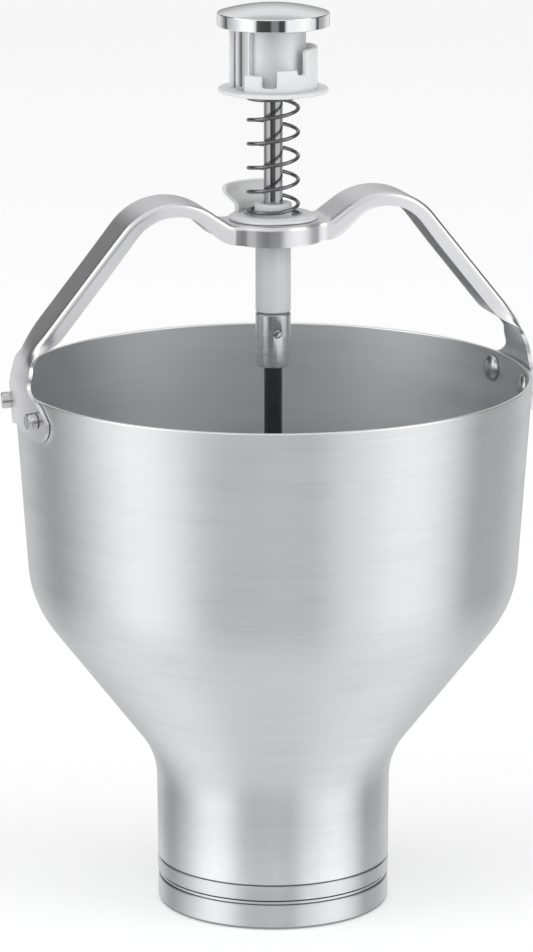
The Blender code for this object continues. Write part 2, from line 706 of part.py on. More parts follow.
def make_rivets():
    """Four rivets: a cylindrical end outside the ear and a domed head inside the hopper."""
    ear_face = GAP + SHEET + GAP
    inner_radius = wall_radius(RIVET_HEIGHT) - HOPPER_WALL
    sag = inner_radius - math.sqrt(inner_radius ** 2 - RIVET_DOME_RADIUS ** 2)
    seat = -HOPPER_WALL - GAP - sag
    tip = ear_face + RIVET_END_LENGTH
    outline = [(0.0, tip), (RIVET_END_RADIUS - RIVET_END_EDGE, tip), (RIVET_END_RADIUS, tip - RIVET_END_EDGE)]
    outline += [(RIVET_END_RADIUS, ear_face), (RIVET_SHANK_RADIUS, ear_face), (RIVET_SHANK_RADIUS, seat)]
    for step in range(RIVET_DOME_STEPS + 1):
        turn = math.pi / 2 * step / RIVET_DOME_STEPS
        outline.append((RIVET_DOME_RADIUS * math.cos(turn), seat - RIVET_DOME_HEIGHT * math.sin(turn)))
    outline[-1] = (0.0, outline[-1][1])
    for name, frame in rivet_frames().items():
        shape = turned_shape(outline, ROD_SIDES)
        shape.transform(frame)
        add_object(f"rivet_{name}", shape, "rivet_steel", frame.translation)


def rounded_plate(half_length, half_width, corner, base, top, inner):
    """A flat plate with rounded corners and a round hole in the middle."""
    shape = bmesh.new()
    outline = []
    for quarter in range(4):
        centre_x = (half_length - corner) * (1 if quarter in (0, 3) else -1)
        centre_y = (half_width - corner) * (1 if quarter in (0, 1) else -1)
        for step in range(PLATE_CORNER_STEPS + 1):
            turn = math.pi / 2 * (quarter + step / PLATE_CORNER_STEPS)
            outline.append((centre_x + corner * math.cos(turn), centre_y + corner * math.sin(turn)))
    hole = []
    for step in range(ROD_SIDES):
        turn = math.tau * step / ROD_SIDES
        hole.append((inner * math.cos(turn), inner * math.sin(turn)))
    edges = []
    for loop in (outline, hole):
        verts = [shape.verts.new((x, y, base)) for x, y in loop]
        edges += [shape.edges.new((a, b)) for a, b in zip(verts, verts[1:] + verts[:1])]
    filled = bmesh.ops.triangle_fill(shape, use_beauty=True, edges=edges)
    faces = [item for item in filled["geom"] if isinstance(item, bmesh.types.BMFace)]
    raised = bmesh.ops.extrude_face_region(shape, geom=faces)
    lifted = [item for item in raised["geom"] if isinstance(item, bmesh.types.BMVert)]
    bmesh.ops.translate(shape, vec=(0.0, 0.0, top - base), verts=lifted)
    return shape


def bent_grid(columns, rows, outer_at, inner_at):
    """A closed curved wall from an outer and an inner grid of places."""
    shape = bmesh.new()
    grids = []
    for place_at in (outer_at, inner_at):
        grids.append([[shape.verts.new(place_at(c, r)) for r in range(rows + 1)] for c in range(columns + 1)])
    outer, inner = grids
    for grid in grids:
        for column in range(columns):
            for row in range(rows):
                shape.faces.new((
                    grid[column][row], grid[column + 1][row],
                    grid[column + 1][row + 1], grid[column][row + 1],
                ))
    for column in range(columns):
        for row in (0, rows):
            shape.faces.new((outer[column][row], outer[column + 1][row], inner[column + 1][row], inner[column][row]))
    for row in range(rows):
        for column in (0, columns):
            shape.faces.new((outer[column][row], outer[column][row + 1], inner[column][row + 1], inner[column][row]))
    return shape


def tab_place(column, row, wall):
    """A place on the stop tab, which flares outwards at its top like a bell's mouth."""
    height_share = row / TAB_ROWS
    heading = between(TAB_START, TAB_END, column / TAB_COLUMNS)
    flare = (height_share - TAB_FLARE_START_SHARE) / (TAB_FLARE_END_SHARE - TAB_FLARE_START_SHARE)
    radius = between(TAB_FOOT_RADIUS, TAB_LIP_RADIUS, eased(flare)) - wall
    height = between(SEAT_HEIGHT, TAB_TOP, height_share)
    return (radius * math.cos(heading), radius * math.sin(heading), height)


def make_guide_bush():
    """The nylon bush: guide tube, boss with a seat for the spring, plate and stop tab."""
    boss_top = PLATE_TOP + BUSH_BOSS_HEIGHT
    edge = BUSH_TUBE_EDGE
    overlap = (BUSH_TUBE_RADIUS + UPPER_BORE) / 2
    outline = [
        (UPPER_BORE, BUSH_TUBE_END), (BUSH_TUBE_RADIUS - edge, BUSH_TUBE_END),
        (BUSH_TUBE_RADIUS, BUSH_TUBE_END + edge), (BUSH_TUBE_RADIUS, SEAT_HEIGHT),
        (BUSH_BOSS_RADIUS, SEAT_HEIGHT), (BUSH_BOSS_RADIUS, boss_top - edge),
        (BUSH_BOSS_RADIUS - edge, boss_top), (UPPER_BORE, boss_top),
    ]
    bush = turned("guide_bush", outline, DISC_SIDES, "white_nylon")
    plate = add_object("bush_plate", rounded_plate(
        BUSH_PLATE_HALF_LENGTH, BUSH_PLATE_HALF_WIDTH, BUSH_PLATE_CORNER,
        PLATE_UNDERSIDE, PLATE_TOP, overlap,
    ), "white_nylon")
    seat = turned_shape([
        (BUSH_BOSS_RADIUS, SEAT_HEIGHT), (BUSH_SEAT_RADIUS, SEAT_HEIGHT),
        (BUSH_SEAT_RADIUS, PLATE_TOP + OVERRUN), (BUSH_BOSS_RADIUS, PLATE_TOP + OVERRUN),
    ], DISC_SIDES)
    tab = add_object("stop_tab", bent_grid(
        TAB_COLUMNS, TAB_ROWS,
        lambda column, row: tab_place(column, row, 0.0),
        lambda column, row: tab_place(column, row, TAB_WALL),
    ), "white_nylon")
    combine(bush, plate, "UNION")
    combine(bush, add_object("spring_seat", seat, "white_nylon"), "DIFFERENCE")
    combine(bush, tab, "UNION")
    web = SADDLE_HEIGHT - SHEET - GAP
    tube("bush_retainer", BUSH_TUBE_RADIUS + GAP, BUSH_TUBE_RADIUS + GAP + RETAINER_WIDTH,
         web - RETAINER_THICKNESS, web, "spring_steel")


def spring_points():
    """Points along the wire's middle, one right-handed helix with gently closed ends."""
    low = SEAT_HEIGHT + GAP + SPRING_WIRE / 2
    high = FLANGE_UNDERSIDE - GAP - SPRING_WIRE / 2
    count = round(SPRING_TURNS * SPRING_POINTS_PER_TURN)
    points = []
    for index in range(count + 1):
        turns = index / SPRING_POINTS_PER_TURN
        from_end = min(turns, SPRING_TURNS - turns)
        if from_end < SPRING_END_TURNS:
            lift = SPRING_END_LIFT * from_end / SPRING_END_TURNS
        else:
            open_share = (from_end - SPRING_END_TURNS) / (SPRING_TURNS / 2 - SPRING_END_TURNS)
            lift = between(SPRING_END_LIFT, (high - low) / 2, open_share)
        height = low + lift if turns <= SPRING_TURNS / 2 else high - lift
        heading = SPRING_START + math.tau * turns
        points.append(Vector((SPRING_RADIUS * math.cos(heading), SPRING_RADIUS * math.sin(heading), height)))
    return points


def least_spring_gap(points):
    """Least distance between the wire's surfaces on neighbouring turns."""
    apart = SPRING_POINTS_PER_TURN // 2
    least = SPRING_RADIUS
    for index, point in enumerate(points):
        for other in points[index + apart:]:
            least = min(least, (other - point).length - SPRING_WIRE)
    return least


def make_spring():
    """The return spring, one unbroken round wire."""
    points = spring_points()
    print(f"least gap of return_spring to itself: {least_spring_gap(points) * 1000:.2f} mm")
    curve = bpy.data.curves.new("return_spring", "CURVE")
    curve.dimensions = "3D"
    curve.bevel_depth = SPRING_WIRE / 2
    curve.bevel_resolution = 1
    curve.use_fill_caps = True
    line = curve.splines.new("POLY")
    line.points.add(len(points) - 1)
    base = Vector((0.0, 0.0, points[0].z))
    for slot, point in zip(line.points, points):
        slot.co = (*(point - base), 1.0)
    curve.materials.append(finish("return_spring", "spring_steel"))
    spring = bpy.data.objects.new("return_spring", curve)
    bpy.context.collection.objects.link(spring)
    spring.location = base


def make_thumb_cap(plunger):
    """The chromed cap with its round stem, the rod's socket and the stop key."""
    top = CAP_UNDERSIDE + CAP_SIDE_HEIGHT
    stem_base = FLANGE_TOP + GAP
    socket = CAP_UNDERSIDE + CAP_ROD_DEPTH + GAP
    outline = [
        (0.0, socket), (UPPER_BORE, socket), (UPPER_BORE, stem_base), (STEM_RADIUS, stem_base),
        (STEM_RADIUS, CAP_UNDERSIDE), (CAP_RADIUS - CAP_EDGE, CAP_UNDERSIDE),
        (CAP_RADIUS, CAP_UNDERSIDE + CAP_EDGE), (CAP_RADIUS, top - CAP_EDGE),
    ]
    for step in range(CAP_DOME_STEPS + 1):
        share = step / CAP_DOME_STEPS
        outline.append(((CAP_RADIUS - CAP_EDGE) * (1.0 - share), top + CAP_DOME_RISE * (1.0 - (1.0 - share) ** 2)))
    cap = turned("thumb_cap", outline, DISC_SIDES, "chrome", plunger)
    key_inner = (STEM_RADIUS + UPPER_BORE) / 2
    key_outer = STEM_RADIUS + KEY_THICKNESS
    key_heights = (stem_base, CAP_UNDERSIDE + CAP_EDGE)

    def key_place(radius):
        def place(column, row):
            heading = between(KEY_START, KEY_END, column / KEY_COLUMNS)
            return (radius * math.cos(heading), radius * math.sin(heading), key_heights[row])
        return place

    key = add_object("stop_key", bent_grid(KEY_COLUMNS, 1, key_place(key_outer), key_place(key_inner)), "chrome")
    combine(cap, key, "UNION")


def crown_outline():
    """Outline of the dial's crown, unrolled, as (turn times radius, height above the flange)."""
    corners = [(CROWN_START * CROWN_RADIUS, -FLANGE_THICKNESS / 2, 0.0)]
    start = CROWN_START
    for end, height in zip(CROWN_STEP_ENDS, CROWN_STEP_HEIGHTS):
        corners.append((start * CROWN_RADIUS, height, CROWN_CORNER))
        corners.append((end * CROWN_RADIUS, height, CROWN_CORNER))
        start = end
    corners.append((start * CROWN_RADIUS, -FLANGE_THICKNESS / 2, 0.0))
    return rounded_path(corners, CROWN_ARC_STEP)


def make_crown_shape():
    """The crown of steps: an unrolled outline, cut into columns, thickened and rolled up."""
    shape = bmesh.new()
    verts = [shape.verts.new((point.x, 0.0, point.y)) for point in crown_outline()]
    shape.faces.new(verts)
    turn = CROWN_START + CROWN_COLUMN
    while turn < CROWN_STEP_ENDS[-1]:
        bmesh.ops.bisect_plane(
            shape, geom=shape.verts[:] + shape.edges[:] + shape.faces[:], dist=CUT_TOLERANCE,
            plane_co=(turn * CROWN_RADIUS, 0.0, 0.0), plane_no=(1.0, 0.0, 0.0),
        )
        turn += CROWN_COLUMN
    bmesh.ops.triangulate(shape, faces=shape.faces[:])
    raised = bmesh.ops.extrude_face_region(shape, geom=shape.faces[:])
    inner = [item for item in raised["geom"] if isinstance(item, bmesh.types.BMVert)]
    bmesh.ops.translate(shape, vec=(0.0, CROWN_WALL, 0.0), verts=inner)
    for vert in shape.verts:
        heading = vert.co.x / CROWN_RADIUS
        radius = CROWN_RADIUS - vert.co.y
        vert.co = (radius * math.cos(heading), radius * math.sin(heading), FLANGE_TOP + vert.co.z)
    return shape


def make_portion_dial(dial_axis):
    """The nylon dial: a flange that the spring pushes on, with a crown of steps."""
    edge = FLANGE_EDGE
    dial = turned("portion_dial", [
        (UPPER_BORE, FLANGE_UNDERSIDE), (FLANGE_RADIUS - edge, FLANGE_UNDERSIDE),
        (FLANGE_RADIUS, FLANGE_UNDERSIDE + edge), (FLANGE_RADIUS, FLANGE_TOP - edge),
        (FLANGE_RADIUS - edge, FLANGE_TOP), (UPPER_BORE, FLANGE_TOP),
    ], DISC_SIDES, "white_nylon", dial_axis)
    combine(dial, add_object("dial_crown", make_crown_shape(), "white_nylon"), "UNION")


def make_coupling(plunger):
    """The sleeve between the rods with its slotted set screw."""
    sleeve = tube("coupling_sleeve", UPPER_BORE, COUPLING_RADIUS, COUPLING_END, COUPLING_TOP,
                  "polished_steel", plunger, COUPLING_CHAMFER)
    height = COUPLING_TOP - SET_SCREW_BELOW_TOP
    aim = Matrix.Rotation(SET_SCREW_ANGLE, 4, "Z") @ Matrix.Rotation(math.pi / 2, 4, "Y")
    frame = Matrix.Translation((0.0, 0.0, height)) @ aim
    hole_radius = SET_SCREW_RADIUS + GAP
    hole = turned_shape([
        (0.0, 0.0), (hole_radius, 0.0), (hole_radius, COUPLING_RADIUS + OVERRUN), (0.0, COUPLING_RADIUS + OVERRUN),
    ], ROD_SIDES)
    hole.transform(frame)
    combine(sleeve, add_object("set_screw_hole", hole, "polished_steel"), "DIFFERENCE")
    tip = COUPLING_RADIUS - SET_SCREW_RECESS
    body = turned_shape([
        (0.0, UPPER_BORE), (SET_SCREW_RADIUS, UPPER_BORE), (SET_SCREW_RADIUS, tip), (0.0, tip),
    ], ROD_SIDES)
    body.transform(frame)
    origin = frame @ Vector((0.0, 0.0, UPPER_BORE))
    screw = add_object("coupling_set_screw", body, "rivet_steel", origin, plunger)
    slot = bmesh.new()
    bmesh.ops.create_cube(slot, size=1.0)
    depth = SET_SCREW_SLOT_DEPTH + OVERRUN
    length = 2 * (SET_SCREW_RADIUS + OVERRUN)
    size = Matrix.Diagonal((SET_SCREW_SLOT_WIDTH, length, depth, 1.0))
    lift = Matrix.Translation((0.0, 0.0, tip - SET_SCREW_SLOT_DEPTH + depth / 2))
    slot.transform(frame @ Matrix.Rotation(math.pi / 4, 4, "Z") @ lift @ size)
    combine(screw, add_object("set_screw_slot", slot, "rivet_steel"), "DIFFERENCE")


def sealed_disc(name, base, height, look, plunger):
    """A disc that runs in the bore, with a groove for its rubber ring."""
    radius = BORE_RADIUS - SLIDE_GAP
    top = base + height
    outline = [(LOWER_BORE, base), (radius - PISTON_CHAMFER, base), (radius, base + PISTON_CHAMFER)]
    outline += seal_groove(radius, base + height / 2)
    outline += [(radius, top - PISTON_CHAMFER), (radius - PISTON_CHAMFER, top), (LOWER_BORE, top)]
    turned(name, outline, DISC_SIDES, look, plunger)
    rubber_ring(f"{name}_seal", radius, base + height / 2, plunger)


def make_plunger_end(plunger):
    """Everything clamped on the lower rod's end, from the nut up to the piston."""
    rod("lower_rod", LOWER_ROD_RADIUS, ROD_END, ROD_MEETING - COUPLING_ROD_GAP / 2, "dark_steel",
        plunger)
    hexagon_nut("valve_nut", VALVE_NUT_BASE, plunger)
    tube("valve_washer", LOWER_BORE, WASHER_RADIUS, VALVE_WASHER_BASE, VALVE_WASHER_BASE + WASHER_HEIGHT,
         "rivet_steel", plunger, sides=ROD_SIDES)
    sealed_disc("outlet_valve", VALVE_BASE, VALVE_HEIGHT, "white_nylon", plunger)
    tube("spacer_tube", LOWER_BORE, LOWER_BORE + SPACER_WALL, SPACER_BASE, PISTON_BASE - GAP,
         "polished_steel", plunger, sides=ROD_SIDES)
    sealed_disc("piston", PISTON_BASE, PISTON_HEIGHT, "white_nylon", plunger)
    hexagon_nut("piston_nut", PISTON_NUT_BASE, plunger)


def main():
    """Build the whole dispenser."""
    clear_scene()
    plunger = add_empty("plunger_axis", (0.0, 0.0, COUPLING_TOP))
    dial_axis = add_empty("dial_axis", (0.0, 0.0, FLANGE_UNDERSIDE), plunger)
    make_hopper()
    make_foot()
    make_outlet_cylinder()
    make_handle()
    make_rivets()
    make_guide_bush()
    make_spring()
    make_thumb_cap(plunger)
    make_portion_dial(dial_axis)
    rod("upper_rod", UPPER_ROD_RADIUS, ROD_MEETING + COUPLING_ROD_GAP / 2, CAP_UNDERSIDE + CAP_ROD_DEPTH,
        "rod_steel", plunger)
    make_coupling(plunger)
    make_plunger_end(plunger)
    print(f"plunger travel: {PLUNGER_TRAVEL * 1000:.2f} mm")


main()
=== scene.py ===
import math

import bmesh
import bpy
from bpy.props import FloatProperty, FloatVectorProperty, IntProperty, PointerProperty
from mathutils import Matrix, Vector


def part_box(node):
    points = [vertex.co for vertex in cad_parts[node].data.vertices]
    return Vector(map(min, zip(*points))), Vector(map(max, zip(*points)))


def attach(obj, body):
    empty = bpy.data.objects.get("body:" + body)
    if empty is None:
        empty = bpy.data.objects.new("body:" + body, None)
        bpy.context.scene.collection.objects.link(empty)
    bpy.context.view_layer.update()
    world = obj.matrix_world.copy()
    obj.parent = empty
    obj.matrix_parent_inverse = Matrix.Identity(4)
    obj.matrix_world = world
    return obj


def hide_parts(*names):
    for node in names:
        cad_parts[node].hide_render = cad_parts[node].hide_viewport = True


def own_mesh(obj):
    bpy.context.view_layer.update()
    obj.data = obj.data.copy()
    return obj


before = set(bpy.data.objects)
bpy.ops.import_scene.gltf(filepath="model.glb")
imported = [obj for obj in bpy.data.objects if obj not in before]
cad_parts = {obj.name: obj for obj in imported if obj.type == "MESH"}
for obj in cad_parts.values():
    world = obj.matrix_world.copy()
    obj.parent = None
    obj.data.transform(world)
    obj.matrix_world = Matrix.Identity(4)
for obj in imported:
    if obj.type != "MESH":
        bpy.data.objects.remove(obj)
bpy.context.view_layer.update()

bl_info = {
    "name": "Pancake Batter Dispenser",
    "version": (1, 0, 0),
    "blender": (4, 5, 0),
    "location": "3D View > Sidebar > Dispenser",
    "description": "Builds the dressed pieces of a batter dispenser with a spring-returned plunger",
    "category": "Add Mesh",
}

# Bodies that the pieces ride on
BOWL_BODY = "dispenser_frame"
PLUNGER_BODY = "plunger"
DIAL_BODY = "dial"

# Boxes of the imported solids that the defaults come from
HOPPER_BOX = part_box("hopper")
BASE_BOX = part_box("base_ring")
BUSH_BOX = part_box("guide_bush")
DIAL_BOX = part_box("portion_dial")
SLEEVE_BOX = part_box("coupling_sleeve")
LOWER_ROD_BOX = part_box("lower_rod")
UPPER_ROD_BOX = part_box("upper_rod")

# Clearances and fineness
GAP = 0.0003
SLIDE_GAP = 0.0005
OVERRUN = 0.0020
MERGE = 0.000001
FILLET_ROOM_SHARE = 0.95
ARC_STEP = math.radians(3.0)
EDGE_STEP = math.radians(30.0)
SMOOTH_ANGLE = math.radians(40.0)
BODY_SIDES = 160
CAP_SIDES = 128
DISC_SIDES = 96
NUT_SIDES = 60
ROD_SIDES = 48
SEAL_SIDES = 16
WIRE_SIDES = 14
DOME_STEPS = 16
RIVET_DOME_STEPS = 14

# Rounding of small edges
FINE_EDGE = 0.0002
SLEEVE_EDGE = 0.00015
BRIDGE_EDGE = 0.0003
KEY_EDGE = 0.0004
CYLINDER_EDGE = 0.0004
BUSH_EDGE = 0.0005
TAB_EDGE = 0.0006
DIAL_EDGE = 0.0006
ROD_EDGE = 0.0006
RIVET_EDGE = 0.0007

# Flat width of the metering cylinder's upper lip
LIP_WIDTH = 0.0010

# Bridge handle: the folded channel's section and the ears
SADDLE_BLEND_POWER = 6.0
SKIRT_FADE = 0.0180
SKIRT_END_ABOVE_RIM = 0.0130
WAIST_ABOVE_RIM = 0.0095
WAIST_HALF_WIDTH = 0.0150
NECK_BEND_ABOVE_RIM = 0.0020
NECK_BEND_LENGTH = 0.0060
NECK_LEAN = math.radians(18.0)
LEG_TAPER_SHARE = 0.5
STATION_STEP = 0.0025
FLAT_COLUMNS = 8
CORNER_COLUMNS = 6
SKIRT_COLUMNS = 6
EAR_FLAT_SHARE = 0.30
EAR_ROWS = 30
EAR_DIP_DEPTH = 0.0070
EAR_NECK_ABOVE_RIVET = 0.0125
EAR_NECK_FILLET = 0.0050
LOBE_START = math.radians(98.0)
LOBE_STEPS = 24
HANDLE_ARC_STEP = math.radians(4.0)

# Guide bush plate and stop tab
PLATE_SIDE = 0.0011
PLATE_BEVEL = 0.0026
TAB_START = math.radians(84.0)
TAB_END = math.radians(156.0)
TAB_FOOT_RADIUS = 0.0180
TAB_LIP_RADIUS = 0.0238
TAB_FLARE_START_SHARE = 0.30
TAB_FLARE_END_SHARE = 0.85
TAB_COLUMNS = 28
TAB_ROWS = 18

# Retaining ring under the bridge
RETAINER_WIDTH = 0.0040
RETAINER_THICKNESS = 0.0011

# Heading where the spring's wire starts
SPRING_START = math.radians(-3.0)

# Socket for the rod in the cap, and the stop key on the cap's stem
SOCKET_RISE = 0.0010
KEY_START = math.radians(-199.0)
KEY_END = math.radians(-145.0)
KEY_COLUMNS = 20

# Steps of the portion dial's crown, by turn and by height above the flange
CROWN_START = math.radians(-148.0)
CROWN_STEP_ENDS = [
    math.radians(turn) for turn in (-122.5, -102.0, -73.0, -59.0, 18.0, 63.0, 103.0, 133.0, 163.0)
]
CROWN_STEP_HEIGHTS = (0.0079, 0.0023, 0.0104, 0.0079, 0.0191, 0.0130, 0.0165, 0.0225, 0.0282)
CROWN_CORNER = 0.0012
CROWN_EDGE = 0.0005
CROWN_EDGE_STEPS = 3
CROWN_ARC_STEP = math.radians(15.0)
CROWN_CUT = math.radians(4.0)

# Rounding of the foot's edges, drop of the lips that catch the light, height of the lower edge painted dark
# as shade
FOOT_EDGE = 0.00010
LIP_DROP = 0.00045
FOOT_ROUND = 0.0014
FOOT_SHADE = 0.0013

# Set screw in the coupling
SCREW_ANGLE = math.radians(-91.0)
SCREW_RADIUS = 0.0019
SCREW_BELOW_TOP = 0.0091
SCREW_SLOT_WIDTH = 0.0007
SCREW_SLOT_DEPTH = 0.0009
SCREW_SINK = 0.0001

# What is clamped on the lower rod
SPACER_WALL = 0.0020
WASHER_RADIUS = 0.0095

# Studio: the floor, the camera's film width and the two softboxes beside the camera
FLOOR_RADIUS = 14.0
FILM_WIDTH = 36.0
SOFTBOX_TURNS = {"left_softbox": math.radians(-72.0), "right_softbox": math.radians(68.0)}
SOFTBOX_WIDTH = 1.6
SOFTBOX_HEIGHT = 1.8
SOFTBOX_DISTANCE = 2.2
SOFTBOX_RISE = 1.3
SOFTBOX_AIM = 0.2
SOFTBOX_POWER = 12.0

# Soft light behind the object: its middle's rise and its spread
BACK_LIGHT_RISE = math.radians(11.0)
BACK_LIGHT_SPREAD = math.radians(31.0)

# Light round the horizon, as (degrees to the right of the camera, brightness)
LIGHT_BANDS = (
    (-180.0, 0.28), (-150.0, 0.16), (-138.0, 0.14), (-124.0, 0.10), (-112.0, 0.10), (-107.0, 0.50),
    (-84.0, 0.80), (-66.0, 1.20), (-46.0, 1.24), (-38.0, 0.95), (-33.0, 0.10), (-22.0, 0.07),
    (-6.0, 0.06), (-2.0, 0.26), (9.0, 0.26), (13.0, 0.06), (23.0, 0.07), (27.0, 0.90), (33.0, 1.08),
    (40.0, 1.02), (54.0, 1.10), (66.0, 1.20), (80.0, 1.06), (96.0, 0.80), (100.0, 0.12),
    (106.0, 0.12), (110.0, 0.46), (130.0, 0.26), (146.0, 0.18), (180.0, 0.28),
)


def metres(name, text, value):
    """Arguments of a length property in metres."""
    return {"name": name, "description": text, "default": value, "min": 0.0, "unit": "LENGTH", "precision": 5}


def tone(name, text, value):
    """Arguments of a colour property, described by what wears the colour."""
    return {
        "name": name, "description": f"Colour: {text}", "default": value,
        "size": 3, "min": 0.0, "max": 1.0, "subtype": "COLOR",
    }


class HopperSettings(bpy.types.PropertyGroup):
    """Sizes of the spun hopper."""
    rim_radius: FloatProperty(**metres("Rim radius", "Outer radius of the bowl at its rim", HOPPER_BOX[1][0]))
    rim_height: FloatProperty(**metres("Rim height", "Height of the rim above the floor", HOPPER_BOX[1][2]))
    wall: FloatProperty(**metres("Wall", "Thickness of the spun sheet", 0.0020))
    rim_edge: FloatProperty(**metres("Rim edge", "Rounding of the rim's two edges", 0.0006))
    wall_taper: FloatProperty(**metres("Wall taper", "How much narrower the bowl is at its shoulder", 0.0070))
    shoulder_height: FloatProperty(**metres("Shoulder height", "Where the wall meets the cone", 0.1482))
    shoulder_fillet: FloatProperty(**metres("Shoulder fillet", "Radius of the bend at the shoulder", 0.0500))
    neck_radius: FloatProperty(**metres("Neck radius", "Outer radius at the top of the neck", 0.0550))
    neck_top: FloatProperty(**metres("Neck top", "Where the cone meets the neck", 0.0720))
    neck_fillet: FloatProperty(**metres("Neck fillet", "Radius of the bend above the neck", 0.0380))
    neck_end_radius: FloatProperty(**metres("Neck end radius", "Outer radius of the neck's end", 0.0547))
    neck_end: FloatProperty(**metres("Neck end", "Height of the neck's lower end", HOPPER_BOX[0][2]))


class FootSettings(bpy.types.PropertyGroup):
    """Sizes of the foot ring and the locking ring."""
    radius: FloatProperty(**metres("Foot radius", "Outer radius of the foot ring", BASE_BOX[1][0]))
    groove_height: FloatProperty(**metres("Groove height", "Height of the narrow groove in the foot", 0.0119))
    shoulder_top: FloatProperty(**metres("Foot height", "Height of the whole foot ring", BASE_BOX[1][2]))
    step_depth: FloatProperty(**metres("Step depth", "How far the foot steps in above the groove", 0.0005))
    # The grooves look dark partly from their real depth and partly from painted shade: a darker finish on
    # their faces
    groove_width: FloatProperty(**metres("Groove width", "Width of the dark grooves round the foot", 0.0006))
    groove_depth: FloatProperty(**metres("Groove depth", "Depth of the dark grooves round the foot", 0.0013))
    ledge_height: FloatProperty(**metres("Ledge height", "Thickness of the ledge inside the foot", 0.0054))
    ledge_width: FloatProperty(**metres("Ledge width", "How far the ledge stands inwards", 0.0070))


class CylinderSettings(bpy.types.PropertyGroup):
    """Sizes of the metering cylinder in the neck."""
    skirt_wall: FloatProperty(**metres("Skirt wall", "Thickness of the skirt inside the neck", 0.0032))
    bore_radius: FloatProperty(**metres("Bore radius", "Radius of the bore that measures a portion", 0.0350))
    bore_wall: FloatProperty(**metres("Bore wall", "Thickness of the bore's tube", 0.0030))
    bore_base: FloatProperty(**metres("Bore base", "Height of the bore's lower end", 0.0544))
    bore_top: FloatProperty(**metres("Bore top", "Height of the bore's upper end", 0.0794))
    funnel_rise: FloatProperty(**metres("Funnel rise", "Height of the funnel mouth", 0.0140))
    seal_height: FloatProperty(**metres("Seal height", "Height of the rubber ring in the neck", 0.0400))
    seal: FloatProperty(**metres("Seal thickness", "Thickness of the rubber rings", 0.0020))


class BridgeSettings(bpy.types.PropertyGroup):
    """Sizes of the pressed bridge handle."""
    sheet: FloatProperty(**metres("Sheet", "Thickness of the steel sheet", 0.0018))
    corner: FloatProperty(**metres("Fold radius", "Outer radius of the channel's folds", 0.0024))
    saddle_height: FloatProperty(**metres("Saddle height", "Height of the flat saddle in the middle", 0.3272))
    saddle_half_length: FloatProperty(**metres("Saddle half length", "Reach of the flat saddle", 0.0234))
    saddle_half_width: FloatProperty(**metres("Saddle half width", "Half width of the round saddle", 0.0218))
    saddle_fillet: FloatProperty(**metres("Saddle fillet", "Bend where the saddle ends", 0.0060))
    hump_reach: FloatProperty(**metres("Hump reach", "How far out the hump is", 0.0565))
    hump_height: FloatProperty(**metres("Hump height", "Height of the hump's unrounded corner", 0.3500))
    hump_fillet: FloatProperty(**metres("Hump fillet", "Bend over the hump", 0.0311))
    foot_above_rim: FloatProperty(**metres("Foot above rim", "Lower bend's height over the rim", 0.0190))
    foot_fillet: FloatProperty(**metres("Foot fillet", "Radius of the leg's lower bend", 0.0280))
    hump_half_width: FloatProperty(**metres("Hump half width", "Channel's half width at the hump", 0.0136))
    leg_half_width: FloatProperty(**metres("Leg half width", "Channel's half width on the leg", 0.0124))
    saddle_skirt: FloatProperty(**metres("Saddle skirt", "Depth of the folded side at the saddle", 0.0098))
    hump_skirt: FloatProperty(**metres("Hump skirt", "Depth of the folded side at the hump", 0.0063))
    leg_skirt: FloatProperty(**metres("Leg skirt", "Depth of the folded side on the leg", 0.0075))
    lobe_radius: FloatProperty(**metres("Lobe radius", "Radius of the ear round each rivet", 0.0105))


class RivetSettings(bpy.types.PropertyGroup):
    """Sizes and places of the four rivets."""
    spread: FloatProperty(**metres("Rivet spread", "Distance of a rivet from the bridge's middle", 0.0226))
    below_rim: FloatProperty(**metres("Below rim", "How far the rivets sit below the rim", 0.0085))
    end_radius: FloatProperty(**metres("End radius", "Radius of the end outside the ear", 0.00385))
    end_length: FloatProperty(**metres("End length", "Length of the end outside the ear", 0.0040))
    shank_radius: FloatProperty(**metres("Shank radius", "Radius of the shank in the wall", 0.0028))
    dome_radius: FloatProperty(**metres("Dome radius", "Radius of the domed head inside the bowl", 0.0062))
    dome_height: FloatProperty(**metres("Dome height", "Height of the domed head", 0.0026))


class BushSettings(bpy.types.PropertyGroup):
    """Sizes of the nylon guide bush."""
    tube_radius: FloatProperty(**metres("Tube radius", "Outer radius of the guide tube", 0.0082))
    tube_end: FloatProperty(**metres("Tube end", "Height of the guide tube's lower end", BUSH_BOX[0][2]))
    boss_radius: FloatProperty(**metres("Boss radius", "Radius of the boss inside the spring", 0.00865))
    boss_height: FloatProperty(**metres("Boss height", "Height of the boss above the plate", 0.0050))
    plate_half_length: FloatProperty(**metres("Plate half length", "Half length of the plate", 0.0205))
    plate_half_width: FloatProperty(**metres("Plate half width", "Half width of the plate", 0.0192))
    plate_corner: FloatProperty(**metres("Plate corner", "Corner radius of the plate", 0.0188))
    plate_thickness: FloatProperty(**metres("Plate thickness", "Thickness of the plate", 0.0022))
    seat_radius: FloatProperty(**metres("Seat radius", "Radius of the recess the spring sits in", 0.0131))
    seat_depth: FloatProperty(**metres("Seat depth", "Depth of the recess the spring sits in", 0.0013))
    tab_wall: FloatProperty(**metres("Tab wall", "Thickness of the stop tab", 0.0020))
    tab_top: FloatProperty(**metres("Tab top", "Height of the stop tab's top", BUSH_BOX[1][2]))


class SpringSettings(bpy.types.PropertyGroup):
    """Sizes of the return spring."""
    wire: FloatProperty(**metres("Wire", "Thickness of the spring wire", 0.0018))
    radius: FloatProperty(**metres("Coil radius", "Radius of the coil to the wire's middle", 0.0115))
    turns: FloatProperty(name="Turns", description="Number of turns of the coil", default=6.1, min=1.0)
    end_turns: FloatProperty(
        name="End turns", description="Closed part of a turn at each end", default=0.75, min=0.1,
    )
    end_lift: FloatProperty(**metres("End lift", "How much the closed part climbs", 0.0022))
    points_per_turn: IntProperty(name="Points a turn", description="Fineness of the coil", default=40, min=8)


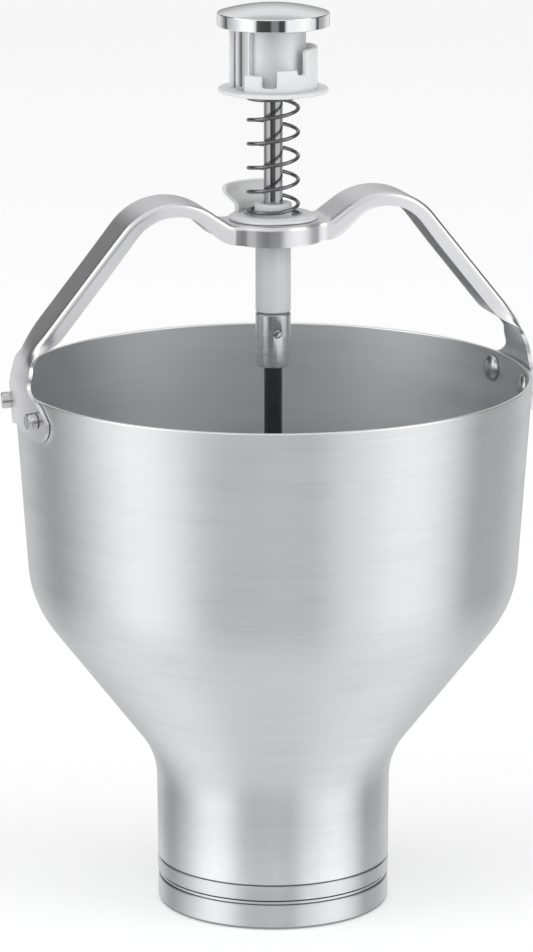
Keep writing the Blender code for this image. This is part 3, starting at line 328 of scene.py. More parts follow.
class CapSettings(bpy.types.PropertyGroup):
    """Sizes of the thumb cap and its stem."""
    radius: FloatProperty(**metres("Cap radius", "Radius of the thumb cap", 0.0258))
    side: FloatProperty(**metres("Cap side", "Height of the cap's straight side", 0.0062))
    dome: FloatProperty(**metres("Cap dome", "Rise of the cap's domed top", 0.0040))
    edge: FloatProperty(**metres("Cap edge", "Rounding of the cap's edges", 0.0006))
    underside: FloatProperty(**metres("Cap underside", "Height of the cap's underside", 0.4168))
    stem_radius: FloatProperty(**metres("Stem radius", "Radius of the stem in the dial", 0.0150))
    key: FloatProperty(**metres("Key thickness", "How far the stop key stands out of the stem", 0.0025))


class DialSettings(bpy.types.PropertyGroup):
    """Sizes of the portion dial."""
    flange_radius: FloatProperty(**metres("Flange radius", "Radius of the dial's flange", 0.0254))
    flange: FloatProperty(**metres("Flange thickness", "Thickness of the dial's flange", 0.0018))
    underside: FloatProperty(**metres("Flange underside", "Height of the flange's underside", DIAL_BOX[0][2]))
    crown_wall: FloatProperty(**metres("Crown wall", "Thickness of the stepped crown", 0.0025))


class RodSettings(bpy.types.PropertyGroup):
    """Sizes of the rods, the sleeve between them and what is clamped on the lower end."""
    upper_radius: FloatProperty(**metres("Upper rod radius", "Radius of the rod under the cap", 0.0044))
    lower_radius: FloatProperty(**metres("Lower rod radius", "Radius of the dark rod", 0.0042))
    sleeve_radius: FloatProperty(**metres("Sleeve radius", "Radius of the sleeve between the rods", 0.00825))
    sleeve_chamfer: FloatProperty(**metres("Sleeve chamfer", "Chamfer at the sleeve's ends", 0.0008))
    nut_flats: FloatProperty(**metres("Nut across flats", "Width of the hexagon nuts", 0.0130))
    nut_height: FloatProperty(**metres("Nut height", "Height of the hexagon nuts", 0.0055))
    disc_edge: FloatProperty(**metres("Disc edge", "Chamfer of the piston's and the valve's edges", 0.0008))


class FinishSettings(bpy.types.PropertyGroup):
    """Colours of the finishes."""
    aluminium: FloatVectorProperty(**tone("Spun aluminium", "Hopper and foot", (0.80, 0.81, 0.82)))
    # The inside's colour is darker than the outer aluminium, which paints shade into the bowl
    inside: FloatVectorProperty(**tone("Hopper inside", "The bowl's inner face", (0.66, 0.675, 0.69)))
    steel: FloatVectorProperty(**tone("Polished steel", "Bridge and sleeve", (0.72, 0.72, 0.735)))
    rivet: FloatVectorProperty(**tone("Rivet steel", "Rivets and small fasteners", (0.60, 0.60, 0.61)))
    chrome: FloatVectorProperty(**tone("Chrome", "Thumb cap", (0.83, 0.835, 0.85)))
    rod: FloatVectorProperty(**tone("Upper rod", "Rod under the cap", (0.42, 0.42, 0.43)))
    dark_rod: FloatVectorProperty(**tone("Lower rod", "Dark rod", (0.10, 0.10, 0.105)))
    spring: FloatVectorProperty(**tone("Spring steel", "Return spring", (0.20, 0.20, 0.205)))
    nylon: FloatVectorProperty(**tone("Nylon", "Dial and bush", (0.82, 0.825, 0.83)))
    rubber: FloatVectorProperty(**tone("Rubber", "Sealing rings", (0.025, 0.025, 0.027)))


class StageSettings(bpy.types.PropertyGroup):
    """The camera, the floor and the studio light."""
    distance: FloatProperty(**metres("Camera distance", "Distance of the camera from the axis", 2.2267))
    height: FloatProperty(**metres("Camera height", "Height of the camera above the floor", 0.7444))
    heading: FloatProperty(
        name="Camera heading", description="Turn of the camera round the object",
        default=math.radians(17.0), subtype="ANGLE",
    )
    tilt: FloatProperty(
        name="Camera tilt", description="How far the camera looks down", default=0.23773, subtype="ANGLE",
    )
    aim: FloatProperty(
        name="Camera aim", description="Small turn of the camera beside the axis",
        default=math.radians(0.0795), subtype="ANGLE",
    )
    lens: FloatProperty(name="Lens", description="Focal length in millimetres", default=185.34, min=1.0)
    floor_colour: FloatVectorProperty(**tone("Floor colour", "Pale floor", (0.92, 0.92, 0.92)))
    floor_glow: FloatProperty(
        name="Floor glow", description="How much of the floor's paleness is its own", default=0.28, min=0.0,
    )
    studio: FloatProperty(
        name="Studio light", description="Strength of the studio's light", default=1.0, min=0.0,
    )


SETTINGS = {
    "dispenser_hopper": HopperSettings,
    "dispenser_foot": FootSettings,
    "dispenser_cylinder": CylinderSettings,
    "dispenser_bridge": BridgeSettings,
    "dispenser_rivets": RivetSettings,
    "dispenser_bush": BushSettings,
    "dispenser_spring": SpringSettings,
    "dispenser_cap": CapSettings,
    "dispenser_dial": DialSettings,
    "dispenser_rods": RodSettings,
    "dispenser_finishes": FinishSettings,
    "dispenser_stage": StageSettings,
}


# Node trees

def add_node(tree, kind, inputs=None, **settings):
    """A node with its settings, and its inputs linked or set."""
    node = tree.nodes.new(kind)
    for key, value in settings.items():
        setattr(node, key, value)
    for socket, value in (inputs or {}).items():
        if isinstance(value, bpy.types.NodeSocket):
            tree.links.new(value, node.inputs[socket])
        else:
            node.inputs[socket].default_value = value
    return node


def calculate(tree, operation, *values):
    """The output of a Math node."""
    node = add_node(tree, "ShaderNodeMath", dict(enumerate(values)), operation=operation)
    return node.outputs[0]


def remap(tree, value, low, high, new_low=0.0, new_high=1.0):
    """A value moved from one range to another and held inside it."""
    node = add_node(tree, "ShaderNodeMapRange", {0: value, 1: low, 2: high, 3: new_low, 4: new_high})
    return node.outputs[0]


def new_group(name, inputs, outputs, kind="ShaderNodeTree"):
    """An empty node group with named sockets, its input node and its output node."""
    tree = bpy.data.node_groups.new(name, kind)
    for label, socket_kind, value in inputs:
        socket = tree.interface.new_socket(label, in_out="INPUT", socket_type=socket_kind)
        if value is not None:
            socket.default_value = value
    for label, socket_kind in outputs:
        tree.interface.new_socket(label, in_out="OUTPUT", socket_type=socket_kind)
    return tree, tree.nodes.new("NodeGroupInput"), tree.nodes.new("NodeGroupOutput")


def spin_lines_group():
    """Fine rings that spinning and brushing leave round the axis, broken up along their length."""
    name = "Spin lines"
    if name in bpy.data.node_groups:
        return bpy.data.node_groups[name]
    tree, given, result = new_group(
        name,
        [("Lines per metre", "NodeSocketFloat", 1500.0), ("Breaks per metre", "NodeSocketFloat", 12.0)],
        [("Height", "NodeSocketFloat"), ("Band", "NodeSocketFloat")],
    )
    place = add_node(tree, "ShaderNodeTexCoord").outputs["Object"]
    parts = add_node(tree, "ShaderNodeSeparateXYZ", {0: place})
    flat = add_node(tree, "ShaderNodeCombineXYZ", {0: parts.outputs[0], 1: parts.outputs[1]})
    radius = add_node(tree, "ShaderNodeVectorMath", {0: flat.outputs[0]}, operation="LENGTH").outputs["Value"]
    run = calculate(tree, "ADD", parts.outputs[2], radius)
    breaks = given.outputs["Breaks per metre"]
    across = [calculate(tree, "MULTIPLY", parts.outputs[i], breaks) for i in (0, 1)]
    layers = []
    for share, detail in ((1.0, 2.0), (0.07, 3.0)):
        lines = calculate(tree, "MULTIPLY", given.outputs["Lines per metre"], share)
        along = calculate(tree, "MULTIPLY", run, lines)
        stretched = add_node(tree, "ShaderNodeCombineXYZ", {0: across[0], 1: across[1], 2: along})
        noise = add_node(tree, "ShaderNodeTexNoise", {
            "Vector": stretched.outputs[0], "Scale": 1.0, "Detail": detail,
        })
        layers.append(noise.outputs[0])
    tree.links.new(layers[0], result.inputs["Height"])
    tree.links.new(remap(tree, layers[1], 0.35, 0.65), result.inputs["Band"])
    return tree


def smudges_group():
    """Large soft patches, as handling and wiping leave on a metal surface."""
    name = "Smudges"
    if name in bpy.data.node_groups:
        return bpy.data.node_groups[name]
    tree, given, result = new_group(
        name, [("Patches per metre", "NodeSocketFloat", 30.0)], [("Mask", "NodeSocketFloat")]
    )
    place = add_node(tree, "ShaderNodeTexCoord").outputs["Object"]
    noise = add_node(tree, "ShaderNodeTexNoise", {
        "Vector": place, "Scale": given.outputs["Patches per metre"], "Detail": 4.0, "Roughness": 0.55,
    })
    tree.links.new(remap(tree, noise.outputs[0], 0.3, 0.7), result.inputs["Mask"])
    return tree


def scratches_group():
    """Hairline marks that run one way, as polishing leaves them."""
    name = "Hairlines"
    if name in bpy.data.node_groups:
        return bpy.data.node_groups[name]
    tree, given, result = new_group(
        name,
        [("Lines per metre", "NodeSocketFloat", 1800.0), ("Stretch", "NodeSocketFloat", 0.04)],
        [("Height", "NodeSocketFloat")],
    )
    place = add_node(tree, "ShaderNodeTexCoord").outputs["Object"]
    parts = add_node(tree, "ShaderNodeSeparateXYZ", {0: place})
    fine = given.outputs["Lines per metre"]
    coarse = calculate(tree, "MULTIPLY", fine, given.outputs["Stretch"])
    scales = (coarse, fine, coarse)
    scaled = [calculate(tree, "MULTIPLY", parts.outputs[i], scale) for i, scale in enumerate(scales)]
    stretched = add_node(tree, "ShaderNodeCombineXYZ", dict(enumerate(scaled)))
    noise = add_node(tree, "ShaderNodeTexNoise", {
        "Vector": stretched.outputs[0], "Scale": 1.0, "Detail": 2.0,
    })
    tree.links.new(noise.outputs[0], result.inputs["Height"])
    return tree


def edge_wear_group():
    """A mask of the edges that handling has rubbed bright."""
    name = "Edge wear"
    if name in bpy.data.node_groups:
        return bpy.data.node_groups[name]
    tree, given, result = new_group(
        name, [("Sharpness", "NodeSocketFloat", 0.56)], [("Mask", "NodeSocketFloat")]
    )
    bend = add_node(tree, "ShaderNodeNewGeometry").outputs["Pointiness"]
    place = add_node(tree, "ShaderNodeTexCoord").outputs["Object"]
    noise = add_node(tree, "ShaderNodeTexNoise", {"Vector": place, "Scale": 220.0, "Detail": 3.0})
    ragged = calculate(tree, "MULTIPLY_ADD", noise.outputs[0], 0.03, bend)
    limit = calculate(tree, "ADD", given.outputs["Sharpness"], 0.05)
    tree.links.new(remap(tree, ragged, given.outputs["Sharpness"], limit), result.inputs["Mask"])
    return tree


def new_material(name):
    """The tree and the shader of a new material."""
    material = bpy.data.materials.new(name)
    material.use_nodes = True
    return material.node_tree, material.node_tree.nodes["Principled BSDF"]


def raise_surface(tree, shader, height, strength, depth):
    """Give a shader a fine relief from a height."""
    bump = add_node(tree, "ShaderNodeBump", {"Height": height, "Strength": strength, "Distance": depth})
    tree.links.new(bump.outputs[0], shader.inputs["Normal"])


def use_group(tree, group, inputs=None):
    """A node that holds a shader group."""
    node = tree.nodes.new("ShaderNodeGroup")
    node.node_tree = group
    for label, value in (inputs or {}).items():
        node.inputs[label].default_value = value
    return node


def mix_tones(tree, mask, dark, light):
    """A colour between two colours."""
    node = add_node(tree, "ShaderNodeMix", data_type="RGBA")
    tree.links.new(mask, node.inputs[0])
    for socket, colour in ((6, dark), (7, light)):
        if isinstance(colour, bpy.types.NodeSocket):
            tree.links.new(colour, node.inputs[socket])
        else:
            node.inputs[socket].default_value = (*colour, 1.0)
    return node.outputs[2]


def grey(light):
    """A neutral tone of a brightness."""
    return (light, light, light)


def shaded(colour, share):
    """A colour made darker or lighter by a share."""
    return tuple(min(channel * share, 1.0) for channel in colour)


def turned_metal(name, colour, roughness, lines=1500.0, depth=0.00001, anisotropy=0.6, contrast=0.06):
    """Metal that was spun or turned: rings round the axis and a highlight drawn out across them."""
    tree, shader = new_material(name)
    rings = use_group(tree, spin_lines_group(), {"Lines per metre": lines})
    patches = use_group(tree, smudges_group())
    wear = use_group(tree, edge_wear_group())
    dark, light = shaded(colour, 1.0 - contrast), shaded(colour, 1.0 + contrast)
    base = mix_tones(tree, rings.outputs["Band"], dark, colour)
    fine = mix_tones(tree, rings.outputs["Height"], dark, light)
    body = mix_tones(tree, patches.outputs["Mask"], base, fine)
    worn = mix_tones(tree, wear.outputs["Mask"], body, shaded(colour, 1.12))
    tree.links.new(worn, shader.inputs["Base Color"])
    uneven = calculate(tree, "MULTIPLY_ADD", patches.outputs["Mask"], 0.05, roughness - 0.025)
    banded = calculate(tree, "MULTIPLY_ADD", rings.outputs["Band"], 0.05, uneven)
    tree.links.new(banded, shader.inputs["Roughness"])
    raise_surface(tree, shader, rings.outputs["Height"], 0.35, depth)
    shader.inputs["Metallic"].default_value = 1.0
    shader.inputs["Anisotropic"].default_value = anisotropy
    shader.inputs["Anisotropic Rotation"].default_value = 0.25
    around = add_node(tree, "ShaderNodeTangent", direction_type="RADIAL", axis="Z")
    tree.links.new(around.outputs[0], shader.inputs["Tangent"])


def polished_metal(name, colour, roughness, depth=0.000004, contrast=0.05):
    """Metal with a bright polish, faint hairlines and soft wipe marks."""
    tree, shader = new_material(name)
    marks = use_group(tree, scratches_group())
    patches = use_group(tree, smudges_group(), {"Patches per metre": 45.0})
    wear = use_group(tree, edge_wear_group(), {"Sharpness": 0.54})
    body = mix_tones(tree, patches.outputs["Mask"], shaded(colour, 1.0 - contrast), colour)
    worn = mix_tones(tree, wear.outputs["Mask"], body, shaded(colour, 1.10))
    tree.links.new(worn, shader.inputs["Base Color"])
    lined = calculate(tree, "MULTIPLY_ADD", marks.outputs["Height"], 0.05, roughness - 0.025)
    uneven = calculate(tree, "MULTIPLY_ADD", patches.outputs["Mask"], 0.04, lined)
    tree.links.new(uneven, shader.inputs["Roughness"])
    raise_surface(tree, shader, marks.outputs["Height"], 0.2, depth)
    shader.inputs["Metallic"].default_value = 1.0


def moulded_nylon(name, colour):
    """Milky nylon: light passes a little way in, and the surface has a soft moulded gloss."""
    tree, shader = new_material(name)
    patches = use_group(tree, smudges_group(), {"Patches per metre": 90.0})
    wear = use_group(tree, edge_wear_group())
    body = mix_tones(tree, patches.outputs["Mask"], shaded(colour, 0.95), colour)
    worn = mix_tones(tree, wear.outputs["Mask"], body, shaded(colour, 1.06))
    tree.links.new(worn, shader.inputs["Base Color"])
    uneven = calculate(tree, "MULTIPLY_ADD", patches.outputs["Mask"], 0.12, 0.30)
    tree.links.new(uneven, shader.inputs["Roughness"])
    place = add_node(tree, "ShaderNodeTexCoord").outputs["Object"]
    grain = add_node(tree, "ShaderNodeTexNoise", {"Vector": place, "Scale": 1600.0, "Detail": 2.0})
    raise_surface(tree, shader, grain.outputs[0], 0.15, 0.00003)
    shader.inputs["Subsurface Weight"].default_value = 0.6
    shader.inputs["Subsurface Scale"].default_value = 0.004
    shader.inputs["Subsurface Radius"].default_value = (1.0, 0.95, 0.9)
    shader.inputs["IOR"].default_value = 1.53


def sealing_rubber(name, colour):
    """Dull black rubber with a faint bloom."""
    tree, shader = new_material(name)
    patches = use_group(tree, smudges_group(), {"Patches per metre": 160.0})
    body = mix_tones(tree, patches.outputs["Mask"], colour, shaded(colour, 1.9))
    tree.links.new(body, shader.inputs["Base Color"])
    uneven = calculate(tree, "MULTIPLY_ADD", patches.outputs["Mask"], 0.2, 0.5)
    tree.links.new(uneven, shader.inputs["Roughness"])


# How each finish is made: its maker, its colour and the colour's share, and the maker's settings
FINISHES = {
    "spun_outside": (turned_metal, "aluminium", 1.0, {
        "roughness": 0.43, "anisotropy": 0.85, "depth": 0.00002, "contrast": 0.10,
    }),
    # The same spun aluminium in a darker colour for the bowl's inside: painted shade
    "spun_inside": (turned_metal, "inside", 1.0, {"roughness": 0.47, "anisotropy": 0.20, "contrast": 0.08}),
    "turned_rim": (turned_metal, "aluminium", 1.1, {"roughness": 0.30, "anisotropy": 0.5, "contrast": 0.03}),
    "turned_foot": (turned_metal, "aluminium", 1.0, {
        "roughness": 0.40, "anisotropy": 0.85, "depth": 0.00002, "contrast": 0.10,
    }),
    # Darker aluminium on the faces inside the foot's grooves and along its lower edge: painted shade
    "groove_floor": (turned_metal, "aluminium", 0.42, {"roughness": 0.45, "anisotropy": 0.3}),
    "satin_stem": (turned_metal, "chrome", 1.0, {"roughness": 0.60, "lines": 2400.0, "anisotropy": 0.0}),
    "bright_chrome": (polished_metal, "chrome", 1.0, {
        "roughness": 0.05, "depth": 0.000001, "contrast": 0.01,
    }),
    # The stop key: chrome at a little over half its brightness, a painted dark reflection
    "key_metal": (polished_metal, "chrome", 0.55, {"roughness": 0.16}),
    "polished_bridge": (polished_metal, "steel", 1.10, {"roughness": 0.29, "depth": 0.000006}),
    "polished_sleeve": (turned_metal, "steel", 1.0, {"roughness": 0.24, "lines": 3000.0, "anisotropy": 0.3}),
    "rivet_metal": (polished_metal, "rivet", 1.0, {"roughness": 0.22}),
    "rod_metal": (turned_metal, "rod", 1.0, {
        "roughness": 0.15, "lines": 2400.0, "anisotropy": 0.2, "contrast": 0.05,
    }),
    "dark_rod_metal": (turned_metal, "dark_rod", 1.0, {
        "roughness": 0.24, "lines": 2400.0, "anisotropy": 0.2, "contrast": 0.1,
    }),
    "spring_metal": (polished_metal, "spring", 1.0, {"roughness": 0.22}),
    "milky_nylon": (moulded_nylon, "nylon", 1.0, {}),
    "black_rubber_ring": (sealing_rubber, "rubber", 1.0, {}),
}


def look(name):
    """The material of a finish by its name, in the colours of the settings."""
    if name not in bpy.data.materials:
        maker, colour, share, settings = FINISHES[name]
        tint = tuple(getattr(bpy.context.scene.dispenser_finishes, colour))
        maker(name, shaded(tint, share), **settings)
    return bpy.data.materials[name]


# Shapes

def between(start, end, share):
    """The value that lies a share of the way from start to end."""
    return start + (end - start) * share


def eased(share):
    """A share that starts and ends gently."""
    held = min(max(share, 0.0), 1.0)
    return held * held * (3.0 - 2.0 * held)


def rounded_path(corners, arc_step=ARC_STEP):
    """Points along (x, z, radius) corners, with each corner turned into an arc of its radius."""
    points = [Vector(corners[0][:2])]
    for before, corner, after in zip(corners, corners[1:], corners[2:]):
        middle = Vector(corner[:2])
        back = Vector(before[:2]) - middle
        ahead = Vector(after[:2]) - middle
        room = min(back.length, ahead.length) * FILLET_ROOM_SHARE
        back.normalize()
        ahead.normalize()
        turn = math.pi - back.angle(ahead)
        if corner[2] == 0.0 or turn < ARC_STEP / 10:
            points.append(middle)
            continue
        reach = min(corner[2] * math.tan(turn / 2), room)
        radius = reach / math.tan(turn / 2)
        centre = middle + (back + ahead).normalized() * (radius / math.cos(turn / 2))
        spoke = middle + back * reach - centre
        side = 1.0 if back.x * ahead.y - back.y * ahead.x < 0.0 else -1.0
        steps = max(1, math.ceil(turn / arc_step - MERGE))
        for step in range(steps + 1):
            points.append(centre + Matrix.Rotation(side * turn * step / steps, 2) @ spoke)
    points.append(Vector(corners[-1][:2]))
    return points


def offset_path(points, distance):
    """The same path moved sideways, to its right, by a distance."""
    moved = []
    for index, point in enumerate(points):
        before = points[max(index - 1, 0)]
        after = points[min(index + 1, len(points) - 1)]
        sides = []
        for start, end in ((before, point), (point, after)):
            run = end - start
            if run.length > MERGE:
                sides.append(Vector((run.y, -run.x)).normalized())
        average = (sides[0] + sides[-1]).normalized()
        moved.append(point + average * (distance / average.dot(sides[0])))
    return moved


def softened(outline, edge):
    """A (radius, height) outline with each corner rounded off, closed on itself or on the axis."""
    if outline[0][0] == 0.0:
        corners = [(*point, edge) for point in outline]
        return [tuple(point) for point in rounded_path(corners, EDGE_STEP)]
    start = (Vector(outline[-1]) + Vector(outline[0])) / 2
    corners = [(*start, 0.0)] + [(*point, edge) for point in outline] + [(*start, 0.0)]
    return [tuple(point) for point in rounded_path(corners, EDGE_STEP)][:-1]


def turned_shape(outline, sides):
    """A body of revolution about Z from (radius, height) points, closed on itself or on the axis."""
    shape = bmesh.new()
    ring = [shape.verts.new((radius, 0.0, height)) for radius, height in outline]
    pairs = list(zip(ring, ring[1:]))
    if outline[0][0] > 0.0:
        pairs.append((ring[-1], ring[0]))
    edges = [shape.edges.new(pair) for pair in pairs]
    bmesh.ops.spin(
        shape, geom=ring + edges, axis=(0, 0, 1), cent=(0, 0, 0), angle=math.tau, steps=sides, use_merge=True
    )
    return shape


def bent_grid(columns, rows, outer_at, inner_at):
    """A closed curved wall from an outer and an inner grid of places."""
    shape = bmesh.new()
    grids = []
    for place_at in (outer_at, inner_at):
        grids.append([
            [shape.verts.new(place_at(column, row)) for row in range(rows + 1)]
            for column in range(columns + 1)
        ])
    outer, inner = grids
    for grid in grids:
        for column in range(columns):
            for row in range(rows):
                shape.faces.new((
                    grid[column][row], grid[column + 1][row],
                    grid[column + 1][row + 1], grid[column][row + 1],
                ))
    for column in range(columns):
        for row in (0, rows):
            shape.faces.new((
                outer[column][row], outer[column + 1][row], inner[column + 1][row], inner[column][row],
            ))
    for row in range(rows):
        for column in (0, columns):
            shape.faces.new((
                outer[column][row], outer[column][row + 1], inner[column][row + 1], inner[column][row],
            ))
    return shape


def new_piece(name, shape, *looks):
    """An object at the origin from a bmesh, with closed seams and outward faces."""
    bmesh.ops.remove_doubles(shape, verts=shape.verts, dist=MERGE)
    bmesh.ops.recalc_face_normals(shape, faces=shape.faces)
    mesh = bpy.data.meshes.new(name)
    shape.to_mesh(mesh)
    shape.free()
    mesh.shade_smooth()
    mesh.set_sharp_from_angle(angle=SMOOTH_ANGLE)
    for finish in looks:
        mesh.materials.append(look(finish))
    piece = bpy.data.objects.new(name, mesh)
    bpy.context.collection.objects.link(piece)
    return piece


def even_normals(piece):
    """Keep large faces flat beside small rounded edges."""
    modifier = piece.modifiers.new("even_normals", "WEIGHTED_NORMAL")
    modifier.keep_sharp = True


def round_edges(piece, width, segments=2):
    """Round off the sharp edges of a piece."""
    modifier = piece.modifiers.new("rounded_edges", "BEVEL")
    modifier.width = width
    modifier.segments = segments
    modifier.limit_method = "ANGLE"
    modifier.angle_limit = SMOOTH_ANGLE
    modifier.miter_outer = "MITER_ARC"
    modifier.harden_normals = False


def settle(piece, nodes, body):
    """Let a finished piece stand for its solids and ride on its body."""
    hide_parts(*nodes)
    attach(piece, body)


def turned_piece(name, outline, edge, sides, finish, node, body):
    """A turned piece with softened edges that stands for one solid."""
    piece = new_piece(name, turned_shape(softened(outline, edge), sides), finish)
    even_normals(piece)
    settle(piece, [node], body)
    return piece


def plain_mesh(piece):
    """Turn what a piece's modifiers make into its own plain mesh and remove them."""
    seen = piece.evaluated_get(bpy.context.evaluated_depsgraph_get())
    mesh = bpy.data.meshes.new_from_object(seen)
    piece.modifiers.clear()
    piece.data = mesh


def add_part(shape, part):
    """Add a part's finished mesh to a shape, and drop the part."""
    plain_mesh(part)
    shape.from_mesh(part.data)
    bpy.data.objects.remove(part)


def cut_away(piece, cutter):
    """Cut one piece's shape out of another. The cutter goes once the mesh is plain."""
    modifier = piece.modifiers.new(cutter.name, "BOOLEAN")
    modifier.operation = "DIFFERENCE"
    modifier.solver = "EXACT"
    modifier.object = cutter


def use_tree(piece, tree, values):
    """Add a Geometry Nodes modifier with its inputs set."""
    modifier = piece.modifiers.new(tree.name, "NODES")
    modifier.node_group = tree
    for socket in tree.interface.items_tree:
        if socket.item_type == "SOCKET" and socket.in_out == "INPUT" and socket.name in values:
            modifier[socket.identifier] = values[socket.name]


def wall_lean():
    """Lean of the bowl's wall from upright."""
    sizes = bpy.context.scene.dispenser_hopper
    return math.atan2(sizes.wall_taper, sizes.rim_height - sizes.shoulder_height)


def wall_radius(height):
    """Radius of the bowl's outer wall line, which goes on above the rim."""
    sizes = bpy.context.scene.dispenser_hopper
    return sizes.rim_radius + (height - sizes.rim_height) * math.tan(wall_lean())


def hopper_path():
    """Outer surface of the hopper, from the rim down to the end of the neck."""
    sizes = bpy.context.scene.dispenser_hopper
    return rounded_path([
        (sizes.rim_radius, sizes.rim_height, 0.0),
        (sizes.rim_radius - sizes.wall_taper, sizes.shoulder_height, sizes.shoulder_fillet),
        (sizes.neck_radius, sizes.neck_top, sizes.neck_fillet),
        (sizes.neck_end_radius, sizes.neck_end, 0.0),
    ])


def neck_inner_radius():
    """Radius of the neck's inside at its end."""
    sizes = bpy.context.scene.dispenser_hopper
    return sizes.neck_end_radius - sizes.wall


def seal_groove(outer, height):
    """Outline points of a groove for a rubber ring, from its lower edge to its upper edge."""
    seal = bpy.context.scene.dispenser_cylinder.seal
    half = seal / 2 + GAP
    floor = outer - seal - GAP
    return [(outer, height - half), (floor, height - half), (floor, height + half), (outer, height + half)]


def rubber_ring(name, outer, height, node, body):
    """A rubber ring of round section."""
    half = bpy.context.scene.dispenser_cylinder.seal / 2
    outline = []
    for step in range(SEAL_SIDES):
        turn = math.tau * step / SEAL_SIDES
        outline.append((outer - half + half * math.cos(turn), height + half * math.sin(turn)))
    ring = new_piece(name, turned_shape(outline, DISC_SIDES), "black_rubber_ring")
    settle(ring, [node], body)


class BuildHopper(bpy.types.Operator):
    """Spin the bowl with its cone, its neck and its bright rim"""
    bl_idname = "dispenser.hopper"
    bl_label = "Hopper"

    def execute(self, context):
        sizes = context.scene.dispenser_hopper
        outer = hopper_path()
        inner = offset_path(outer, sizes.wall)
        inner[-1].y = outer[-1].y
        inner[0].y = outer[0].y
        corners = [(*outer[0], sizes.rim_edge)] + [(*point, 0.0) for point in outer[1:]]
        corners += [(*point, 0.0) for point in inner[:0:-1]] + [(*inner[0], sizes.rim_edge)]
        start = (outer[0] + inner[0]) / 2
        path = rounded_path([(*start, 0.0)] + corners + [(*start, 0.0)], EDGE_STEP / 2)[:-1]
        piece = new_piece(
            "spun_hopper", turned_shape([tuple(point) for point in path], BODY_SIDES),
            "spun_outside", "spun_inside", "turned_rim",
        )
        # The rim's faces take the bright rim finish, and the inner faces the darker inside finish that paints
        # shade into the bowl
        top = sizes.rim_height - sizes.rim_edge
        for face in piece.data.polygons:
            outward = face.center.x * face.normal.x + face.center.y * face.normal.y
            if face.center.z > top:
                face.material_index = 2
            elif outward < 0.0 and face.normal.z > -0.5:
                face.material_index = 1
        even_normals(piece)
        settle(piece, ["hopper"], BOWL_BODY)
        return {"FINISHED"}


class BuildFoot(bpy.types.Operator):
    """Turn the foot ring and the locking ring above it"""
    bl_idname = "dispenser.foot"
    bl_label = "Foot rings"

    def execute(self, context):
        sizes = context.scene.dispenser_foot
        skirt = neck_inner_radius()
        ledge = skirt - sizes.ledge_width
        cut, floor = sizes.groove_width, sizes.groove_depth
        edge, groove = sizes.radius, sizes.groove_height
        shoulder = edge - sizes.step_depth
        foot = [
            (ledge, 0.0), (edge - FOOT_ROUND, 0.0),
            (edge - FOOT_ROUND / 4, FOOT_ROUND / 4), (edge, FOOT_ROUND),
            (edge, groove - LIP_DROP), (edge - LIP_DROP, groove), (edge - floor, groove),
            (edge - floor, groove + cut), (shoulder, groove + cut), (shoulder, sizes.shoulder_top),
            (skirt, sizes.shoulder_top), (skirt, sizes.ledge_height), (ledge, sizes.ledge_height),
        ]
        outer = context.scene.dispenser_hopper.neck_end_radius
        low = sizes.shoulder_top + GAP
        high = context.scene.dispenser_hopper.neck_end - GAP
        lock = [
            (skirt, low), (outer - floor, low), (outer - floor, low + cut), (outer, low + cut),
            (outer, high - cut - LIP_DROP), (outer - LIP_DROP, high - cut),
            (outer - floor, high - cut), (outer - floor, high), (skirt, high),
        ]
        for name, node, radius, outline in (
            ("foot_ring", "base_ring", edge, foot), ("locking_ring", "lock_ring", outer, lock),
        ):
            shape = turned_shape(softened(outline, FOOT_EDGE), BODY_SIDES)
            ring = new_piece(name, shape, "turned_foot", "groove_floor")
            # Faces inside the grooves and along the lower edge take the darker finish, which paints in shade
            inside, outside = radius - floor - GAP, radius - LIP_DROP - 2 * FOOT_EDGE
            for face in ring.data.polygons:
                reach = math.hypot(face.center.x, face.center.y)
                if inside < reach < outside or face.center.z < FOOT_SHADE:
                    face.material_index = 1
            even_normals(ring)
            settle(ring, [node], BOWL_BODY)
        return {"FINISHED"}


class BuildCylinder(bpy.types.Operator):
    """Turn the metering cylinder with its funnel mouth and its rubber ring"""
    bl_idname = "dispenser.cylinder"
    bl_label = "Metering cylinder"

    def execute(self, context):
        sizes = context.scene.dispenser_cylinder
        foot = context.scene.dispenser_foot
        hopper = context.scene.dispenser_hopper
        lining = offset_path(hopper_path(), hopper.wall + GAP)
        lip_height = sizes.bore_top + sizes.funnel_rise
        inside = [point for point in lining if point.y <= lip_height]
        above = [point for point in lining if point.y > lip_height][-1]
        lip = between(inside[0], above, (lip_height - inside[0].y) / (above.y - inside[0].y))
        outer = [lip] + [point for point in inside if point.y > sizes.seal_height + 2 * sizes.seal]
        skirt = neck_inner_radius() - GAP
        skirt_inner = skirt - sizes.skirt_wall
        base = foot.ledge_height + GAP
        tube_radius = sizes.bore_radius + sizes.bore_wall
        lip_inner = lip.x - LIP_WIDTH
        slope = sizes.funnel_rise / (lip_inner - sizes.bore_radius)
        drop = sizes.bore_wall * math.sqrt(1.0 + slope * slope)
        outline = [
            (sizes.bore_radius, sizes.bore_base), (tube_radius, sizes.bore_base),
            (tube_radius, sizes.bore_top + sizes.bore_wall * slope - drop),
            (skirt_inner, sizes.bore_top + (skirt_inner - sizes.bore_radius) * slope - drop),
            (skirt_inner, base), (skirt, base),
        ]
        outline += seal_groove(skirt, sizes.seal_height)
        outline += [tuple(point) for point in reversed(outer)]
        outline += [(lip_inner, lip_height), (sizes.bore_radius, sizes.bore_top)]
        turned_piece(
            "metering_cylinder", outline, CYLINDER_EDGE, BODY_SIDES, "turned_foot",
            "outlet_cylinder", BOWL_BODY,
        )
        rubber_ring("metering_cylinder_ring", skirt, sizes.seal_height, "cylinder_seal", BOWL_BODY)
        return {"FINISHED"}


# Bridge handle

